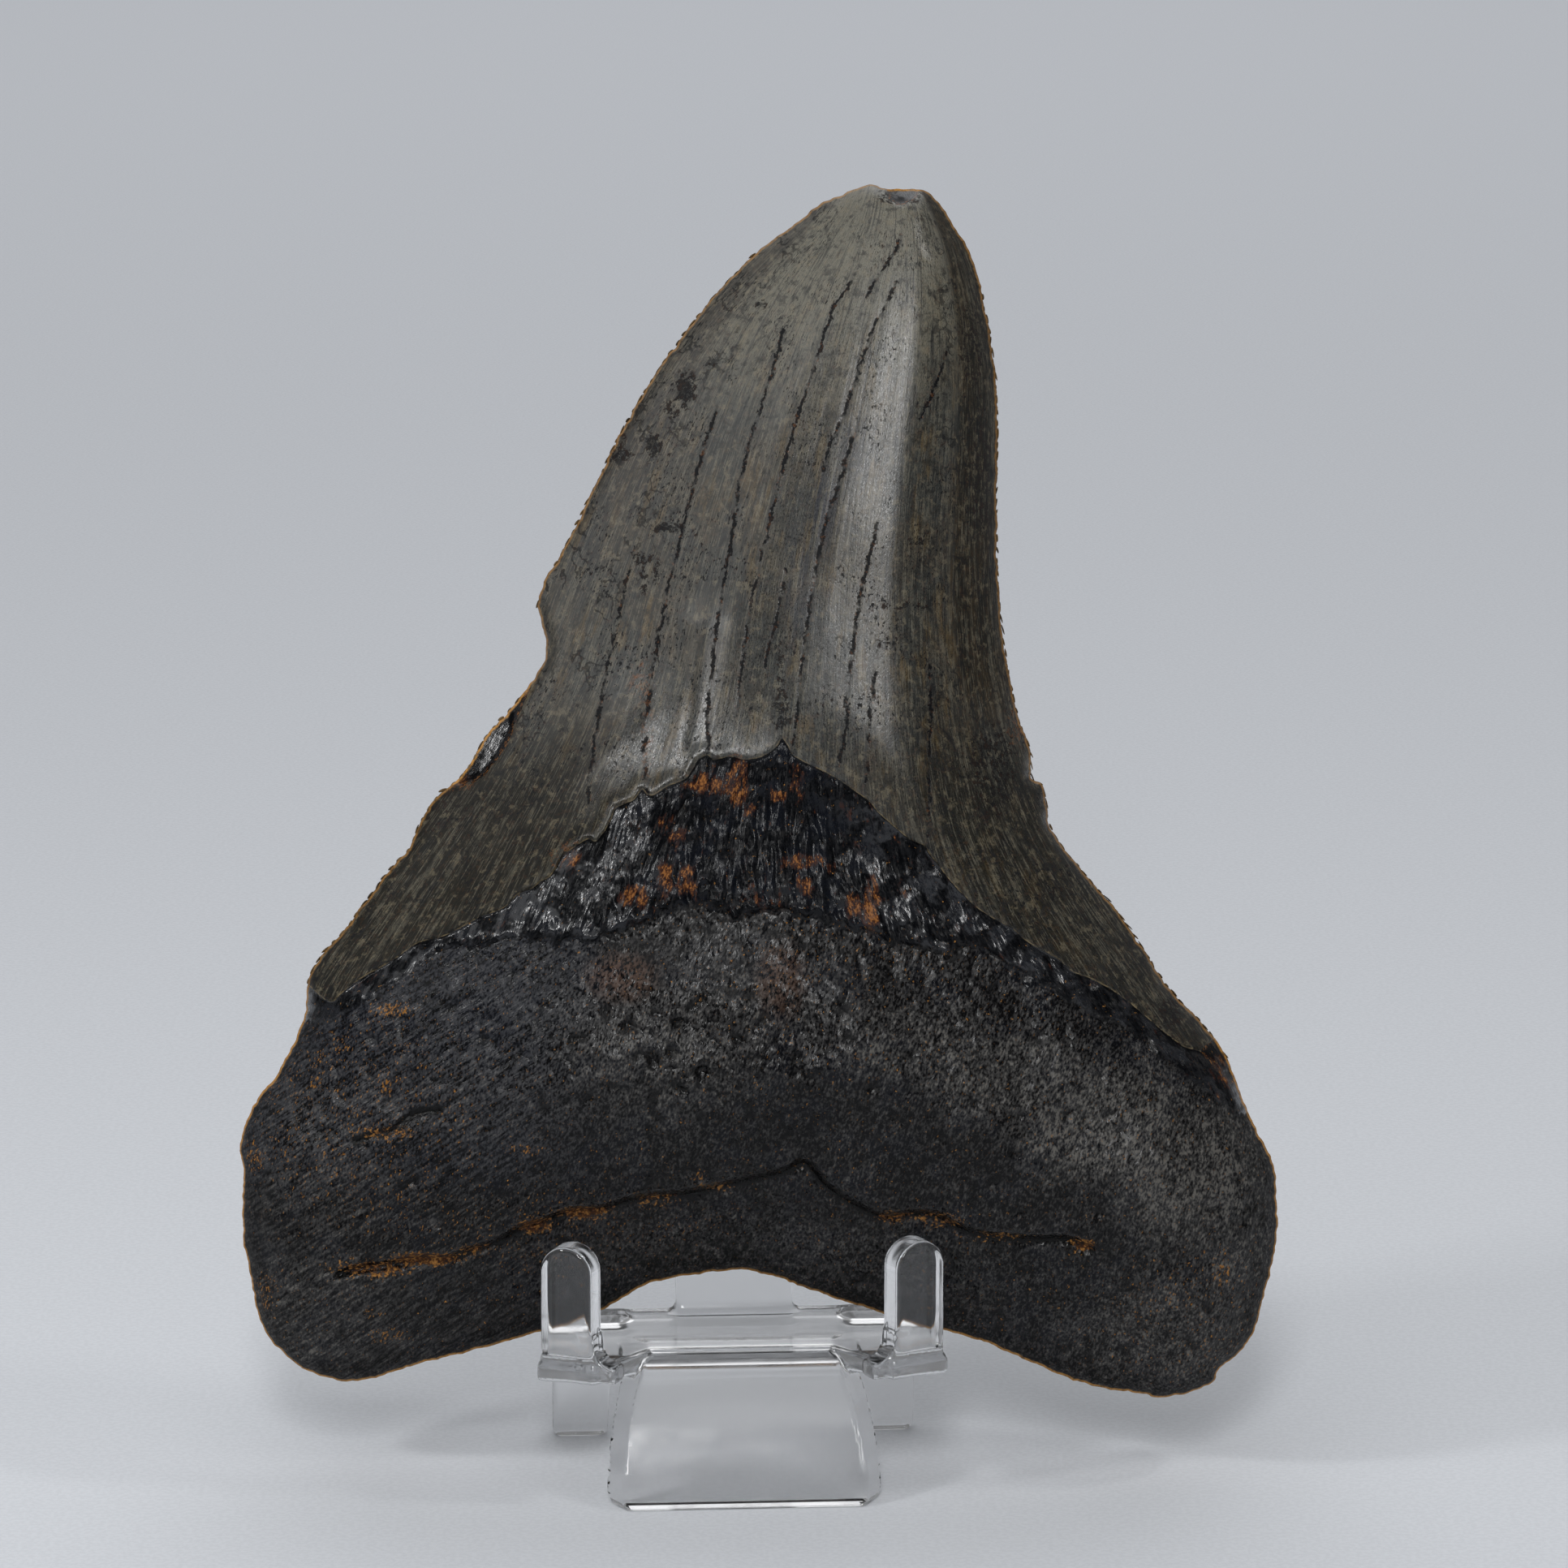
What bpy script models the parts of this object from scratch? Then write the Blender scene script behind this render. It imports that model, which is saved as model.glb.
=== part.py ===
"""Fossil megalodon tooth resting on its clear moulded stand.

The tooth is one natural piece: the crown with its enamel, and the root with its two lobes. Its bulging
inner face looks along -Y. It is made as two sheets, front and back, that share the tooth's outline, and
each sheet's height over the outline's plane comes from short relief functions. The stand is one moulding:
shelf, two upturned prongs, curved front foot, two rear legs and a backrest tongue. The origin is on the
floor under the middle of the whole object.
"""

from math import cos, pi, radians, sin

import bmesh
import bpy
import numpy as np
from mathutils import Matrix, Vector, noise
from mathutils.geometry import delaunay_2d_cdt

MM = 0.001  # sizes below are millimetres, and meshes are made in metres

# ---- Driving dimensions: tooth ---------------------------------------------------------------------
LEAN = radians(12.0)  # the tooth and the backrest lean back by this angle
TOOTH_X = 0.0  # middle of the tooth, across
TOOTH_DEPTH = 12.4  # outline plane behind the front foot's toe, at the level of the lobes' ends
LOBE_CLEARANCE = 7.05  # lowest point of the outline above the floor

CROWN_RISE = 13.0  # front height of a very wide crown; a narrow one is thinner
CROWN_RISE_WIDTH = 20.0  # half width at which the crown has three quarters of that height
CREST = 0.72  # the crown's thickest line, as a share of the way from left edge to right edge
CROWN_CURVE = 1.6  # 1 gives a roof, 2 a round lens
CROWN_BACK = 4.0  # the outer face is nearly flat
CROWN_BACK_RISE_WIDTH = 12.0
CROWN_BACK_CURVE = 1.8
CROWN_BLEND = (-6.0, 8.0)  # the root turns into the crown between these levels beside CROWN_BASE
BACK_BLEND = (-3.0, 9.0)  # and on the outer face, beside its enamel line
TIP_ROUNDING = 5.0
STEP_REACH = 0.35  # each ledge climbs within this distance of its line
ENAMEL_STEP = 0.45  # the enamel stands this much above the band under it
BACK_STEP_HEIGHT = 0.3  # and on the outer face, above the root
BAND_STEP = 0.55  # the ribbed band stands this much above the root
RIM_BLEND = 1.2  # each face closes to the cutting edge over this distance
FRONT_RIM_SLOPE = 0.5  # least steepness of each face at the cutting edge
BACK_RIM_SLOPE = 0.2

ROOT_ROUNDING = 11.0  # how far in from the outline the root rounds over, front
BASAL_BEVEL = 0.45  # how much the face under the fold slopes back towards the arch
BASAL_REACH = 13.0
ROOT_BACK = 5.0
ROOT_BACK_ROUNDING = 7.0
ROOT_BACK_WAVE = 0.08  # unevenness, as a share of the height
BACK_HOLLOW = 1.3  # depth of the shallow hollow in the middle of the outer face
BACK_HOLLOW_LEVEL = 27.0
BACK_HOLLOW_REACH = (15.0, 9.0)  # across and up
FOLD_DROP = 1.7  # the face below the fold lies this much lower
FOLD_LEDGE = 0.9  # half the width of that drop
FOLD_FADE_FROM = 25.0  # it fades out beyond this distance from the middle
FOLD_FADE = 9.0
FOLD_DEPTH = 1.3  # depth of the fold's own groove
FOLD_WIDTH = 0.8
CRACK_DEPTH = 0.7
CHIP_EDGE = (-0.1, 0.7)  # a broken spot drops between these distances inside its outline
LUMP_HEIGHT = 0.32  # uneven surface of the root
LUMP_SIZE = 5.5
WAVE_HEIGHT = 0.12  # slight waviness of the enamel
WAVE_SIZE = 9.0

EDGE_STEP = 1.7  # spacing of the mesh along the outline
FRONT_STEP = 2.35  # and inside it, front and back
BACK_STEP = 3.6
RIM_RINGS = (0.35, 1.3, 2.8)  # rows of points just inside the outline, where the root rounds over

# ---- Driving dimensions: stand ---------------------------------------------------------------------
SHEET = 2.4  # thickness of shelf, foot, legs and backrest
SHELF_TOP = 13.3
SHELF_FRONT = 10.0  # behind the toe of the front foot
SHELF_REAR = 22.0
SHELF_HALF = 18.6
ARM_ROOT = 1.6  # at its front corners the shelf reaches this much further, to meet the prongs' arms
STAND_X = -1.1
STAND_TURN = radians(3.5)  # the stand is set down slightly turned
PRONG_WIDTH = 5.2
PRONG_THICK = 2.9
PRONG_HEIGHT = 11.5  # above the shelf
PRONG_TURN = radians(25.0)  # each prong faces outwards by this angle
PRONG_X = 16.9  # middle of the prong's front face
PRONG_Y = 4.1
PRONG_ARM = 9.0  # how far a prong's arm reaches back under the tooth
PRONG_BEND = 3.4  # outer radius of the bend between arm and prong
PRONG_FILLET = 2.4
WEB_OVERLAP = 0.4  # the fillet's web starts this far inside the prong
# The front foot, from the shelf's upper front edge to the toe: depth and level from that edge
FOOT_CURVE = [(1.5, 0.0), (-1.6, -0.6), (-4.6, -2.9), (-7.2, -6.4), (-9.0, -10.0), (-10.0, -13.3)]
FOOT_TOP_HALF = 9.4
FOOT_TOE_HALF = 12.8
# A rear leg, from the shelf's upper rear edge to the heel
LEG_CURVE = [(-3.0, 0.0), (-0.6, -0.7), (1.0, -3.4), (2.0, -7.4), (3.0, -13.3)]
LEG_WIDTH_TOP = 7.0
LEG_WIDTH_TOE = 5.4
LEG_OUTER_HALF = 17.7
BACKREST_HALF_BASE = 5.6
BACKREST_HALF_TOP = 6.6
BACKREST_LENGTH = 46.0
BACKREST_Y = 19.8  # front of the backrest where it leaves the shelf

# ---- The tooth's outline: millimetres across from its middle, and up from the lobes' ends ----------
TIP = [(7.5, 115.5), (10.9, 116.7), (12.7, 116.3), (15.5, 116.3), (17.0, 115.4)]
RIGHT_EDGE = [
    (18.8, 112.9), (20.6, 109.7), (21.6, 106.0), (22.5, 101.1), (23.0, 95.5), (23.0, 88.3), (23.0, 80.7),
    (23.5, 73.8), (24.5, 67.8), (25.2, 65.1), (26.2, 62.0), (26.4, 59.5), (27.3, 59.1), (28.1, 55.1),
    (29.5, 52.8), (31.6, 50.3), (34.1, 47.4), (36.4, 44.3), (39.5, 39.5), (42.7, 36.1), (45.0, 33.0),
]
RIGHT_LOBE = [
    (46.1, 30.3), (47.7, 26.4), (49.4, 23.0), (50.0, 19.1), (49.8, 14.4), (48.9, 10.4), (47.6, 6.1),
    (45.7, 3.7), (44.2, 2.6), (43.9, 1.6), (41.8, 0.6), (39.0, 0.0), (36.9, 0.3),
]
ARCH = [
    (31.9, 1.2), (27.2, 3.0), (23.4, 4.7), (19.9, 6.0), (18.0, 6.5), (14.5, 7.3), (11.5, 8.3), (7.2, 9.6),
    (2.1, 11.5), (-2.0, 12.3), (-6.2, 11.9), (-10.7, 10.9), (-14.6, 8.7), (-17.9, 7.3), (-20.9, 6.4),
    (-26.3, 4.8), (-32.2, 3.4), (-38.0, 1.7),
]
LEFT_LOBE = [
    (-41.6, 1.9), (-44.5, 3.3), (-47.6, 6.6), (-48.8, 11.3), (-49.7, 17.1), (-49.6, 22.3), (-50.0, 24.2),
    (-49.2, 26.8), (-48.0, 29.2), (-46.7, 30.5), (-45.3, 33.1), (-43.7, 36.8),
]
LEFT_EDGE = [
    (-43.3, 40.2), (-42.2, 42.3), (-39.7, 45.2), (-35.5, 50.8), (-33.6, 52.9), (-32.6, 55.2),
    (-30.8, 58.0), (-28.7, 59.7), (-26.1, 63.7), (-23.2, 67.1), (-21.3, 69.7), (-20.4, 71.5),
    (-20.6, 73.6), (-21.2, 76.4), (-20.6, 78.4), (-19.0, 81.1), (-16.7, 85.6), (-15.9, 87.3),
    (-13.5, 92.3), (-9.8, 98.6), (-5.2, 104.8), (-0.5, 109.9), (3.8, 113.1), (5.2, 114.3),
]

# The crown's width without its notches: level, left edge, right edge
MARGINS = [
    (118.0, 8.0, 15.5), (112.9, 3.0, 18.8), (106.0, -4.2, 21.5), (98.6, -10.0, 22.8), (92.3, -13.6, 23.1),
    (85.6, -16.8, 23.1), (78.0, -20.0, 23.3), (70.0, -23.2, 24.3), (62.0, -27.6, 26.3),
    (55.0, -32.4, 29.2), (47.4, -38.0, 34.0), (40.0, -43.0, 39.6), (33.0, -46.3, 44.6),
    (25.0, -49.2, 48.2), (15.0, -50.0, 50.0), (-2.0, -50.0, 50.0),
]

# ---- Lines on the inner face, from left to right ---------------------------------------------------
ENAMEL_LINE = [
    (-46.0, 38.6), (-43.0, 39.6), (-41.3, 38.5), (-38.7, 40.0), (-34.0, 42.9), (-30.1, 44.6),
    (-23.8, 47.6), (-19.0, 51.4), (-16.0, 54.0), (-13.4, 56.9), (-10.9, 58.7), (-10.0, 58.1),
    (-6.8, 59.7), (-5.5, 61.6), (-2.6, 61.8), (0.7, 61.9), (2.2, 65.4), (3.4, 61.7), (7.7, 59.6),
    (11.4, 56.5), (14.3, 54.0), (16.2, 52.6), (18.3, 49.9), (20.6, 47.6), (25.3, 44.4), (29.8, 41.4),
    (35.1, 38.6), (39.5, 34.9), (42.2, 33.6), (44.3, 32.2), (48.0, 28.0),
]
CROWN_BASE = [
    (-48.0, 37.5), (-30.0, 44.8), (-18.0, 52.0), (-8.0, 59.0), (0.0, 61.5), (8.0, 58.8), (18.0, 50.6),
    (30.0, 41.6), (42.0, 33.6), (50.0, 27.5),
]
BAND_FOOT = [
    (-44.0, 35.5), (-38.5, 38.0), (-33.5, 41.2), (-29.2, 43.6), (-25.5, 44.1), (-22.8, 44.6),
    (-18.0, 44.5), (-13.3, 45.1), (-8.9, 47.3), (-5.5, 48.0), (-2.1, 47.0), (3.0, 47.2),
    (6.3, 46.3), (9.8, 45.5), (13.1, 44.3), (17.5, 43.6), (20.5, 44.0), (24.0, 42.2), (29.0, 39.2),
    (35.0, 36.0), (40.0, 32.2), (46.0, 27.5),
]
FOLD = [
    (-39.8, 12.5), (-35.9, 13.3), (-29.5, 14.0), (-24.0, 16.0), (-20.1, 17.6), (-16.1, 18.5),
    (-10.5, 19.8), (-5.8, 20.4), (0.2, 21.9), (4.4, 23.3), (8.1, 19.9), (12.3, 18.1), (16.7, 18.3),
    (20.4, 16.6), (27.0, 15.9), (31.5, 15.1),
]
UPPER_CRACK = [(-38.2, 25.4), (-34.2, 26.6), (-30.1, 28.5)]
TORUS_CREST = [
    (-47.0, 19.0), (-40.0, 25.2), (-26.0, 29.5), (-12.0, 33.0), (1.2, 33.8), (13.0, 31.5),
    (24.7, 27.2), (36.4, 22.9), (46.6, 17.4),
]

# Root heights across the tooth: distance from the middle, height of the whole lobe, extra height of
# the bulging torus.
ROOT_HEIGHTS = [
    (-52.0, 6.5, 0.8), (-42.0, 7.6, 1.4), (-28.0, 8.8, 2.9), (-12.0, 9.6, 4.9), (0.0, 9.9, 5.6),
    (12.0, 9.6, 5.0), (28.0, 8.9, 3.1), (42.0, 7.8, 1.6), (52.0, 6.7, 1.0),
]
TORUS_ABOVE = 13.0  # how far the torus reaches up and down from its crest
TORUS_BELOW = 9.5

# Broken spots on the inner face: outline and depth
EDGE_CHIP = [(-21.1, 69.4), (-23.0, 65.8), (-24.7, 61.6), (-27.3, 58.8), (-29.5, 58.6), (-26.6, 64.0),
             (-23.5, 67.5)]
EDGE_CHIP_DEPTH = 0.9
TIP_CHIP = [(12.2, 117.0), (15.7, 117.0), (15.2, 115.2), (13.6, 114.4), (12.6, 114.9)]
TIP_CHIP_DEPTH = 1.1
END_CHIP = [(42.2, 33.6), (44.6, 35.2), (46.4, 30.8), (45.2, 30.3), (43.3, 32.4)]
END_CHIP_DEPTH = 0.5

# Dents (negative) and lumps on the inner face: place, radius, height
SPOTS = [
    (-33.0, 29.6, 2.6, -0.7), (-15.0, 33.5, 3.0, 0.6), (-6.0, 36.0, 2.6, -0.7), (-1.0, 39.5, 2.6, 0.6),
    (4.0, 35.5, 2.8, -0.8), (-9.5, 39.5, 2.6, 0.5), (10.5, 36.0, 3.2, 0.6), (30.0, 27.5, 3.0, -0.7),
    (39.0, 21.0, 4.0, 0.6), (41.5, 9.0, 4.0, 0.5), (33.0, 6.0, 3.4, -0.5), (-43.0, 14.0, 3.6, -0.6),
    (-37.0, 7.5, 4.0, 0.5), (-44.0, 30.0, 3.0, -0.5), (4.4, 25.0, 3.0, -0.9),
]

# The outer face: its enamel reaches further down, to this line
BACK_ENAMEL_LINE = [
    (-46.5, 38.0), (-43.0, 38.5), (-30.0, 35.5), (-12.0, 39.5), (2.0, 41.5), (16.0, 39.0), (32.0, 33.5),
    (44.0, 31.5), (48.5, 30.0),
]


# ---- Plane geometry --------------------------------------------------------------------------------
def curve_through(points, step, closed=False):
    """Points about a step apart along a smooth curve through the given ones."""
    knots = np.array(points, float)
    if closed:
        knots = np.vstack([knots[-1:], knots, knots[:2]])
    else:
        knots = np.vstack([2 * knots[0] - knots[1], knots, 2 * knots[-1] - knots[-2]])
    curve = []
    for p0, p1, p2, p3 in zip(knots, knots[1:], knots[2:], knots[3:]):
        a, b, c = (max(np.linalg.norm(q - p) ** 0.5, 1e-6) for p, q in ((p0, p1), (p1, p2), (p2, p3)))
        out_slope = (p1 - p0) / a - (p2 - p0) / (a + b) + (p2 - p1) / b
        in_slope = (p2 - p1) / b - (p3 - p1) / (b + c) + (p3 - p2) / c
        pieces = max(2, int(np.ceil(np.linalg.norm(p2 - p1) / (0.25 * step))))
        for t in np.linspace(0, 1, pieces, endpoint=False):
            blend = ((1 + 2 * t) * (1 - t) ** 2, t * (1 - t) ** 2, t * t * (3 - 2 * t), t * t * (t - 1))
            curve.append(blend[0] * p1 + blend[1] * b * out_slope + blend[2] * p2
                         + blend[3] * b * in_slope)
    curve.append(knots[1] if closed else knots[-2])
    curve = np.array(curve)
    along = np.concatenate([[0], np.cumsum(np.linalg.norm(np.diff(curve, axis=0), axis=1))])
    count = max(3, round(along[-1] / step))
    stations = np.linspace(0, along[-1], count + 1)
    even = np.stack([np.interp(stations, along, curve[:, axis]) for axis in (0, 1)], axis=1)
    return even[:-1] if closed else even


def distance_to(points, line):
    """Distance from each point to a line of points."""
    best = np.full(len(points), np.inf)
    for start, end in zip(line[:-1], line[1:]):
        run = end - start
        offset = points - start
        share = np.clip(offset @ run / (run @ run), 0, 1)
        best = np.minimum(best, np.linalg.norm(offset - share[:, None] * run, axis=1))
    return best


def level_above(points, line):
    """How far each point lies above a line that runs from left to right."""
    curve = curve_through(line, 1.0)
    return points[:, 1] - np.interp(points[:, 0], curve[:, 0], curve[:, 1])


def signed_distance(points, line):
    """Distance to a line from left to right, negative below it."""
    return distance_to(points, curve_through(line, 1.0)) * np.sign(level_above(points, line))


def inside(points, polygon):
    """Which points lie inside a closed polygon."""
    result = np.zeros(len(points), bool)
    for (x0, y0), (x1, y1) in zip(polygon, np.roll(polygon, -1, axis=0)):
        if y0 == y1:
            continue
        crosses = (y0 > points[:, 1]) != (y1 > points[:, 1])
        result ^= crosses & (points[:, 0] < (x1 - x0) * (points[:, 1] - y0) / (y1 - y0) + x0)
    return result


def smooth_rise(low, high, value):
    """0 below low, 1 above high, smooth between."""
    t = np.clip((value - low) / (high - low), 0, 1)
    return t * t * (3 - 2 * t)


def step_at(distance):
    """A small ledge: 0 below a line, 1 above it."""
    return smooth_rise(-STEP_REACH, STEP_REACH, distance)


def rounded(distance, radius):
    """Height of a quarter round, from 0 at the rim to 1 a radius away."""
    t = 1 - np.clip(distance / radius, 0, 1)
    return np.sqrt(np.maximum(1 - t * t, 0))


def bell(distance, width):
    return np.exp(-(distance / width) ** 2)


def waviness(points, size, seed):
    """Smooth random unevenness from -1 to 1."""
    return np.array([noise.noise(Vector((x / size, y / size, seed))) for x, y in points])


# ---- Relief of the tooth's two faces ---------------------------------------------------------------
OUTLINE = TIP + RIGHT_EDGE + RIGHT_LOBE + ARCH + LEFT_LOBE + LEFT_EDGE


def across_crown(points):
    """Share of the way from the left edge to the right edge, and half the width."""
    levels, places = np.array(MARGINS)[::-1, 0], np.array(MARGINS)[::-1, 1:]
    left, right = (curve_through(np.stack([levels, places[:, side]], axis=1), 1.0) for side in (0, 1))
    left = np.interp(points[:, 1], left[:, 0], left[:, 1])
    right = np.interp(points[:, 1], right[:, 0], right[:, 1])
    return np.clip((points[:, 0] - left) / (right - left), 0, 1), (right - left) / 2


def tip_rounding(points):
    return rounded(distance_to(points, np.array(LEFT_EDGE[-1:] + TIP + RIGHT_EDGE[:1])), TIP_ROUNDING)


def chip(points, polygon, depth):
    """A broken spot, with a steep edge."""
    away = distance_to(points, np.array(polygon + polygon[:1]))
    signed = np.where(inside(points, np.array(polygon)), away, -away)
    return -depth * smooth_rise(*CHIP_EDGE, signed)


def closed_at_rim(height, rim_distance, slope):
    """Bring a face's height to nothing at the rim, with at least this slope over the last stretch."""
    return np.maximum(height * rounded(rim_distance, RIM_BLEND), slope * np.minimum(rim_distance, RIM_BLEND))


def front_height(points, rim_distance):
    """Height of the inner face over the outline's plane."""
    share, half_width = across_crown(points)
    left_part = np.clip((CREST - share) / CREST, 0, 1) ** CROWN_CURVE
    right_part = np.clip((share - CREST) / (1 - CREST), 0, 1) ** CROWN_CURVE
    crown = CROWN_RISE * np.tanh(half_width / CROWN_RISE_WIDTH) * (1 - left_part - right_part)
    crown = crown * tip_rounding(points) + WAVE_HEIGHT * waviness(points, WAVE_SIZE, 3.0)

    lobe_curve = curve_through([(place, lobe) for place, lobe, _ in ROOT_HEIGHTS], 1.0)
    bulge_curve = curve_through([(place, bulge) for place, _, bulge in ROOT_HEIGHTS], 1.0)
    from_crest = level_above(points, TORUS_CREST)
    reach = np.where(from_crest > 0, TORUS_ABOVE, TORUS_BELOW)
    root = np.interp(points[:, 0], *lobe_curve.T)
    root = root + np.interp(points[:, 0], *bulge_curve.T) * bell(from_crest, reach)
    fold_fades = bell(np.maximum(np.abs(points[:, 0]) - FOLD_FADE_FROM, 0), FOLD_FADE)
    below_fold = smooth_rise(-FOLD_LEDGE, FOLD_LEDGE, -level_above(points, FOLD))
    root = root - FOLD_DROP * fold_fades * below_fold
    root = root + LUMP_HEIGHT * waviness(points, LUMP_SIZE, 7.0)
    arch_away = distance_to(points, np.array(ARCH))
    basal = 1 - BASAL_BEVEL * (1 - smooth_rise(0, BASAL_REACH, arch_away))
    root = root * rounded(rim_distance, ROOT_ROUNDING) * basal

    height = root + (crown - root) * smooth_rise(*CROWN_BLEND, level_above(points, CROWN_BASE))
    height = height + ENAMEL_STEP * step_at(signed_distance(points, ENAMEL_LINE))
    height = height + BAND_STEP * step_at(signed_distance(points, BAND_FOOT))
    height = height - FOLD_DEPTH * bell(distance_to(points, np.array(FOLD)), FOLD_WIDTH)
    height = height - CRACK_DEPTH * bell(distance_to(points, np.array(UPPER_CRACK)), FOLD_WIDTH)
    for polygon, depth in ((EDGE_CHIP, EDGE_CHIP_DEPTH), (TIP_CHIP, TIP_CHIP_DEPTH),
                           (END_CHIP, END_CHIP_DEPTH)):
        height = height + chip(points, polygon, depth)
    for x, y, radius, rise in SPOTS:
        height = height + rise * bell(np.hypot(points[:, 0] - x, points[:, 1] - y), radius)
    return closed_at_rim(height, rim_distance, FRONT_RIM_SLOPE)


def back_height(points, rim_distance):
    """Height of the outer face, on the other side of the outline's plane."""
    share, half_width = across_crown(points)
    crown = CROWN_BACK * (1 - np.abs(2 * share - 1) ** CROWN_BACK_CURVE)
    crown = crown * np.tanh(half_width / CROWN_BACK_RISE_WIDTH) * tip_rounding(points)
    root = ROOT_BACK * rounded(rim_distance, ROOT_BACK_ROUNDING)
    root = root * (1 + ROOT_BACK_WAVE * waviness(points, LUMP_SIZE, 11.0))
    across, up = BACK_HOLLOW_REACH
    root = root - BACK_HOLLOW * bell(points[:, 0], across) * bell(points[:, 1] - BACK_HOLLOW_LEVEL, up)
    height = root + (crown - root) * smooth_rise(*BACK_BLEND, level_above(points, BACK_ENAMEL_LINE))
    height = height + BACK_STEP_HEIGHT * step_at(signed_distance(points, BACK_ENAMEL_LINE))
    return closed_at_rim(height, rim_distance, BACK_RIM_SLOPE)


# ---- Meshing the tooth -----------------------------------------------------------------------------
def far_enough(candidates, taken, gap):
    """The candidates that lie at least a gap from every point already taken."""
    keep = np.ones(len(candidates), bool)
    for point in taken:
        keep &= np.hypot(candidates[:, 0] - point[0], candidates[:, 1] - point[1]) > gap
    return candidates[keep]


def inner_ring(rim, depth):
    """The outline moved inwards."""
    ahead = np.roll(rim, -1, axis=0) - np.roll(rim, 1, axis=0)
    inward = np.stack([ahead[:, 1], -ahead[:, 0]], axis=1) / np.linalg.norm(ahead, axis=1)[:, None]
    ring = rim + depth * inward
    away = distance_to(ring, np.vstack([rim, rim[:1]]))
    return ring[inside(ring, rim) & (away > 0.85 * depth)]


def sheet_layout(rim, step, creases):
    """Points inside the outline: rows along its rim, rows along the creases, and an even field."""
    closed_rim = np.vstack([rim, rim[:1]])
    points = [inner_ring(rim, depth) for depth in RIM_RINGS]
    taken = np.vstack([rim] + points)
    for line, spacing, offsets in creases:
        path = curve_through(line, spacing)
        ahead = np.gradient(path, axis=0)
        normal = np.stack([-ahead[:, 1], ahead[:, 0]], axis=1) / np.linalg.norm(ahead, axis=1)[:, None]
        rows = np.vstack([path + offset * normal for offset in offsets])
        away = distance_to(rows, closed_rim)
        rows = rows[inside(rows, rim) & (away > RIM_RINGS[-1] + 0.2 * step)]
        rows = far_enough(rows, taken, 0.3)
        points.append(rows)
        taken = np.vstack([taken, rows])
    low, high = rim.min(axis=0), rim.max(axis=0)
    row_gap = step * 0.75 ** 0.5
    field = []
    for row in range(int((high[1] - low[1]) / row_gap) + 1):
        xs = np.arange(low[0] + (row % 2) * step / 2, high[0], step)
        field.append(np.stack([xs, np.full(len(xs), low[1] + row * row_gap)], axis=1))
    field = np.vstack(field)
    away = distance_to(field, closed_rim)
    field = field[inside(field, rim) & (away > RIM_RINGS[-1] + 0.45 * step)]
    points.append(far_enough(field, taken, 0.62 * step))
    return np.vstack(points)


def sheet_triangles(rim, points):
    """Triangulate the outline with its inner points; the corners' numbers start with the rim's."""
    everything = np.vstack([rim, points])
    rim_edges = [(place, (place + 1) % len(rim)) for place in range(len(rim))]
    result = delaunay_2d_cdt([Vector(p) for p in everything], rim_edges, [], 0, 1e-5, True)
    places, faces, sources = np.array(result[0]), result[2], result[3]
    middles = np.array([places[face].mean(axis=0) for face in faces])
    on_rim = [bool(old) and old[0] < len(rim) for old in sources]
    inner = [new for new, rim_point in enumerate(on_rim) if not rim_point]
    number = {new: len(rim) + place for place, new in enumerate(inner)}
    number.update({new: sources[new][0] for new, rim_point in enumerate(on_rim) if rim_point})
    kept = [face for face, within in zip(faces, inside(middles, rim)) if within]
    return places[inner], [[number[corner] for corner in face] for face in kept]


def filled_sheet(rim, points):
    """Triangles where no edge cuts across from rim to rim: both sheets would share such an edge."""
    inner, faces = sheet_triangles(rim, points)
    cuts = set()
    for face in faces:
        for one, other in zip(face, face[1:] + face[:1]):
            if max(one, other) < len(rim) and (one - other) % len(rim) not in (1, len(rim) - 1):
                cuts.add((min(one, other), max(one, other)))
    if not cuts:
        return inner, faces
    return sheet_triangles(rim, np.vstack([inner] + [(rim[a] + rim[b]) / 2 for a, b in sorted(cuts)]))


def make_tooth(material):
    rim = curve_through(OUTLINE, EDGE_STEP, closed=True)
    closed_rim = np.vstack([rim, rim[:1]])
    front_creases = [
        (FOLD, 1.6, (0.0, 0.9, -0.9)), (ENAMEL_LINE, 1.2, (STEP_REACH, -STEP_REACH)),
        (BAND_FOOT[2:-2], 1.5, (STEP_REACH, -STEP_REACH)), (UPPER_CRACK, 1.6, (0.0, 0.9, -0.9)),
        (EDGE_CHIP[:4], 1.5, (-0.6, 0.1)), (TIP_CHIP[1:], 1.0, (0.3,)),
    ]
    back_creases = [(BACK_ENAMEL_LINE, 2.5, (STEP_REACH, -STEP_REACH))]
    mesh = bmesh.new()
    rim_verts = [mesh.verts.new((x * MM, 0, y * MM)) for x, y in rim]
    for step, creases, height_of, outward in (
        (FRONT_STEP, front_creases, front_height, -1), (BACK_STEP, back_creases, back_height, 1)
    ):
        inner, faces = filled_sheet(rim, sheet_layout(rim, step, creases))
        heights = height_of(inner, distance_to(inner, closed_rim))
        verts = rim_verts + [
            mesh.verts.new((x * MM, outward * h * MM, y * MM)) for (x, y), h in zip(inner, heights)
        ]
        for face in faces:
            corners = [verts[number] for number in face]
            mesh.faces.new(corners if outward < 0 else corners[::-1])
    return add_object("tooth", mesh, material)


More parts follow.
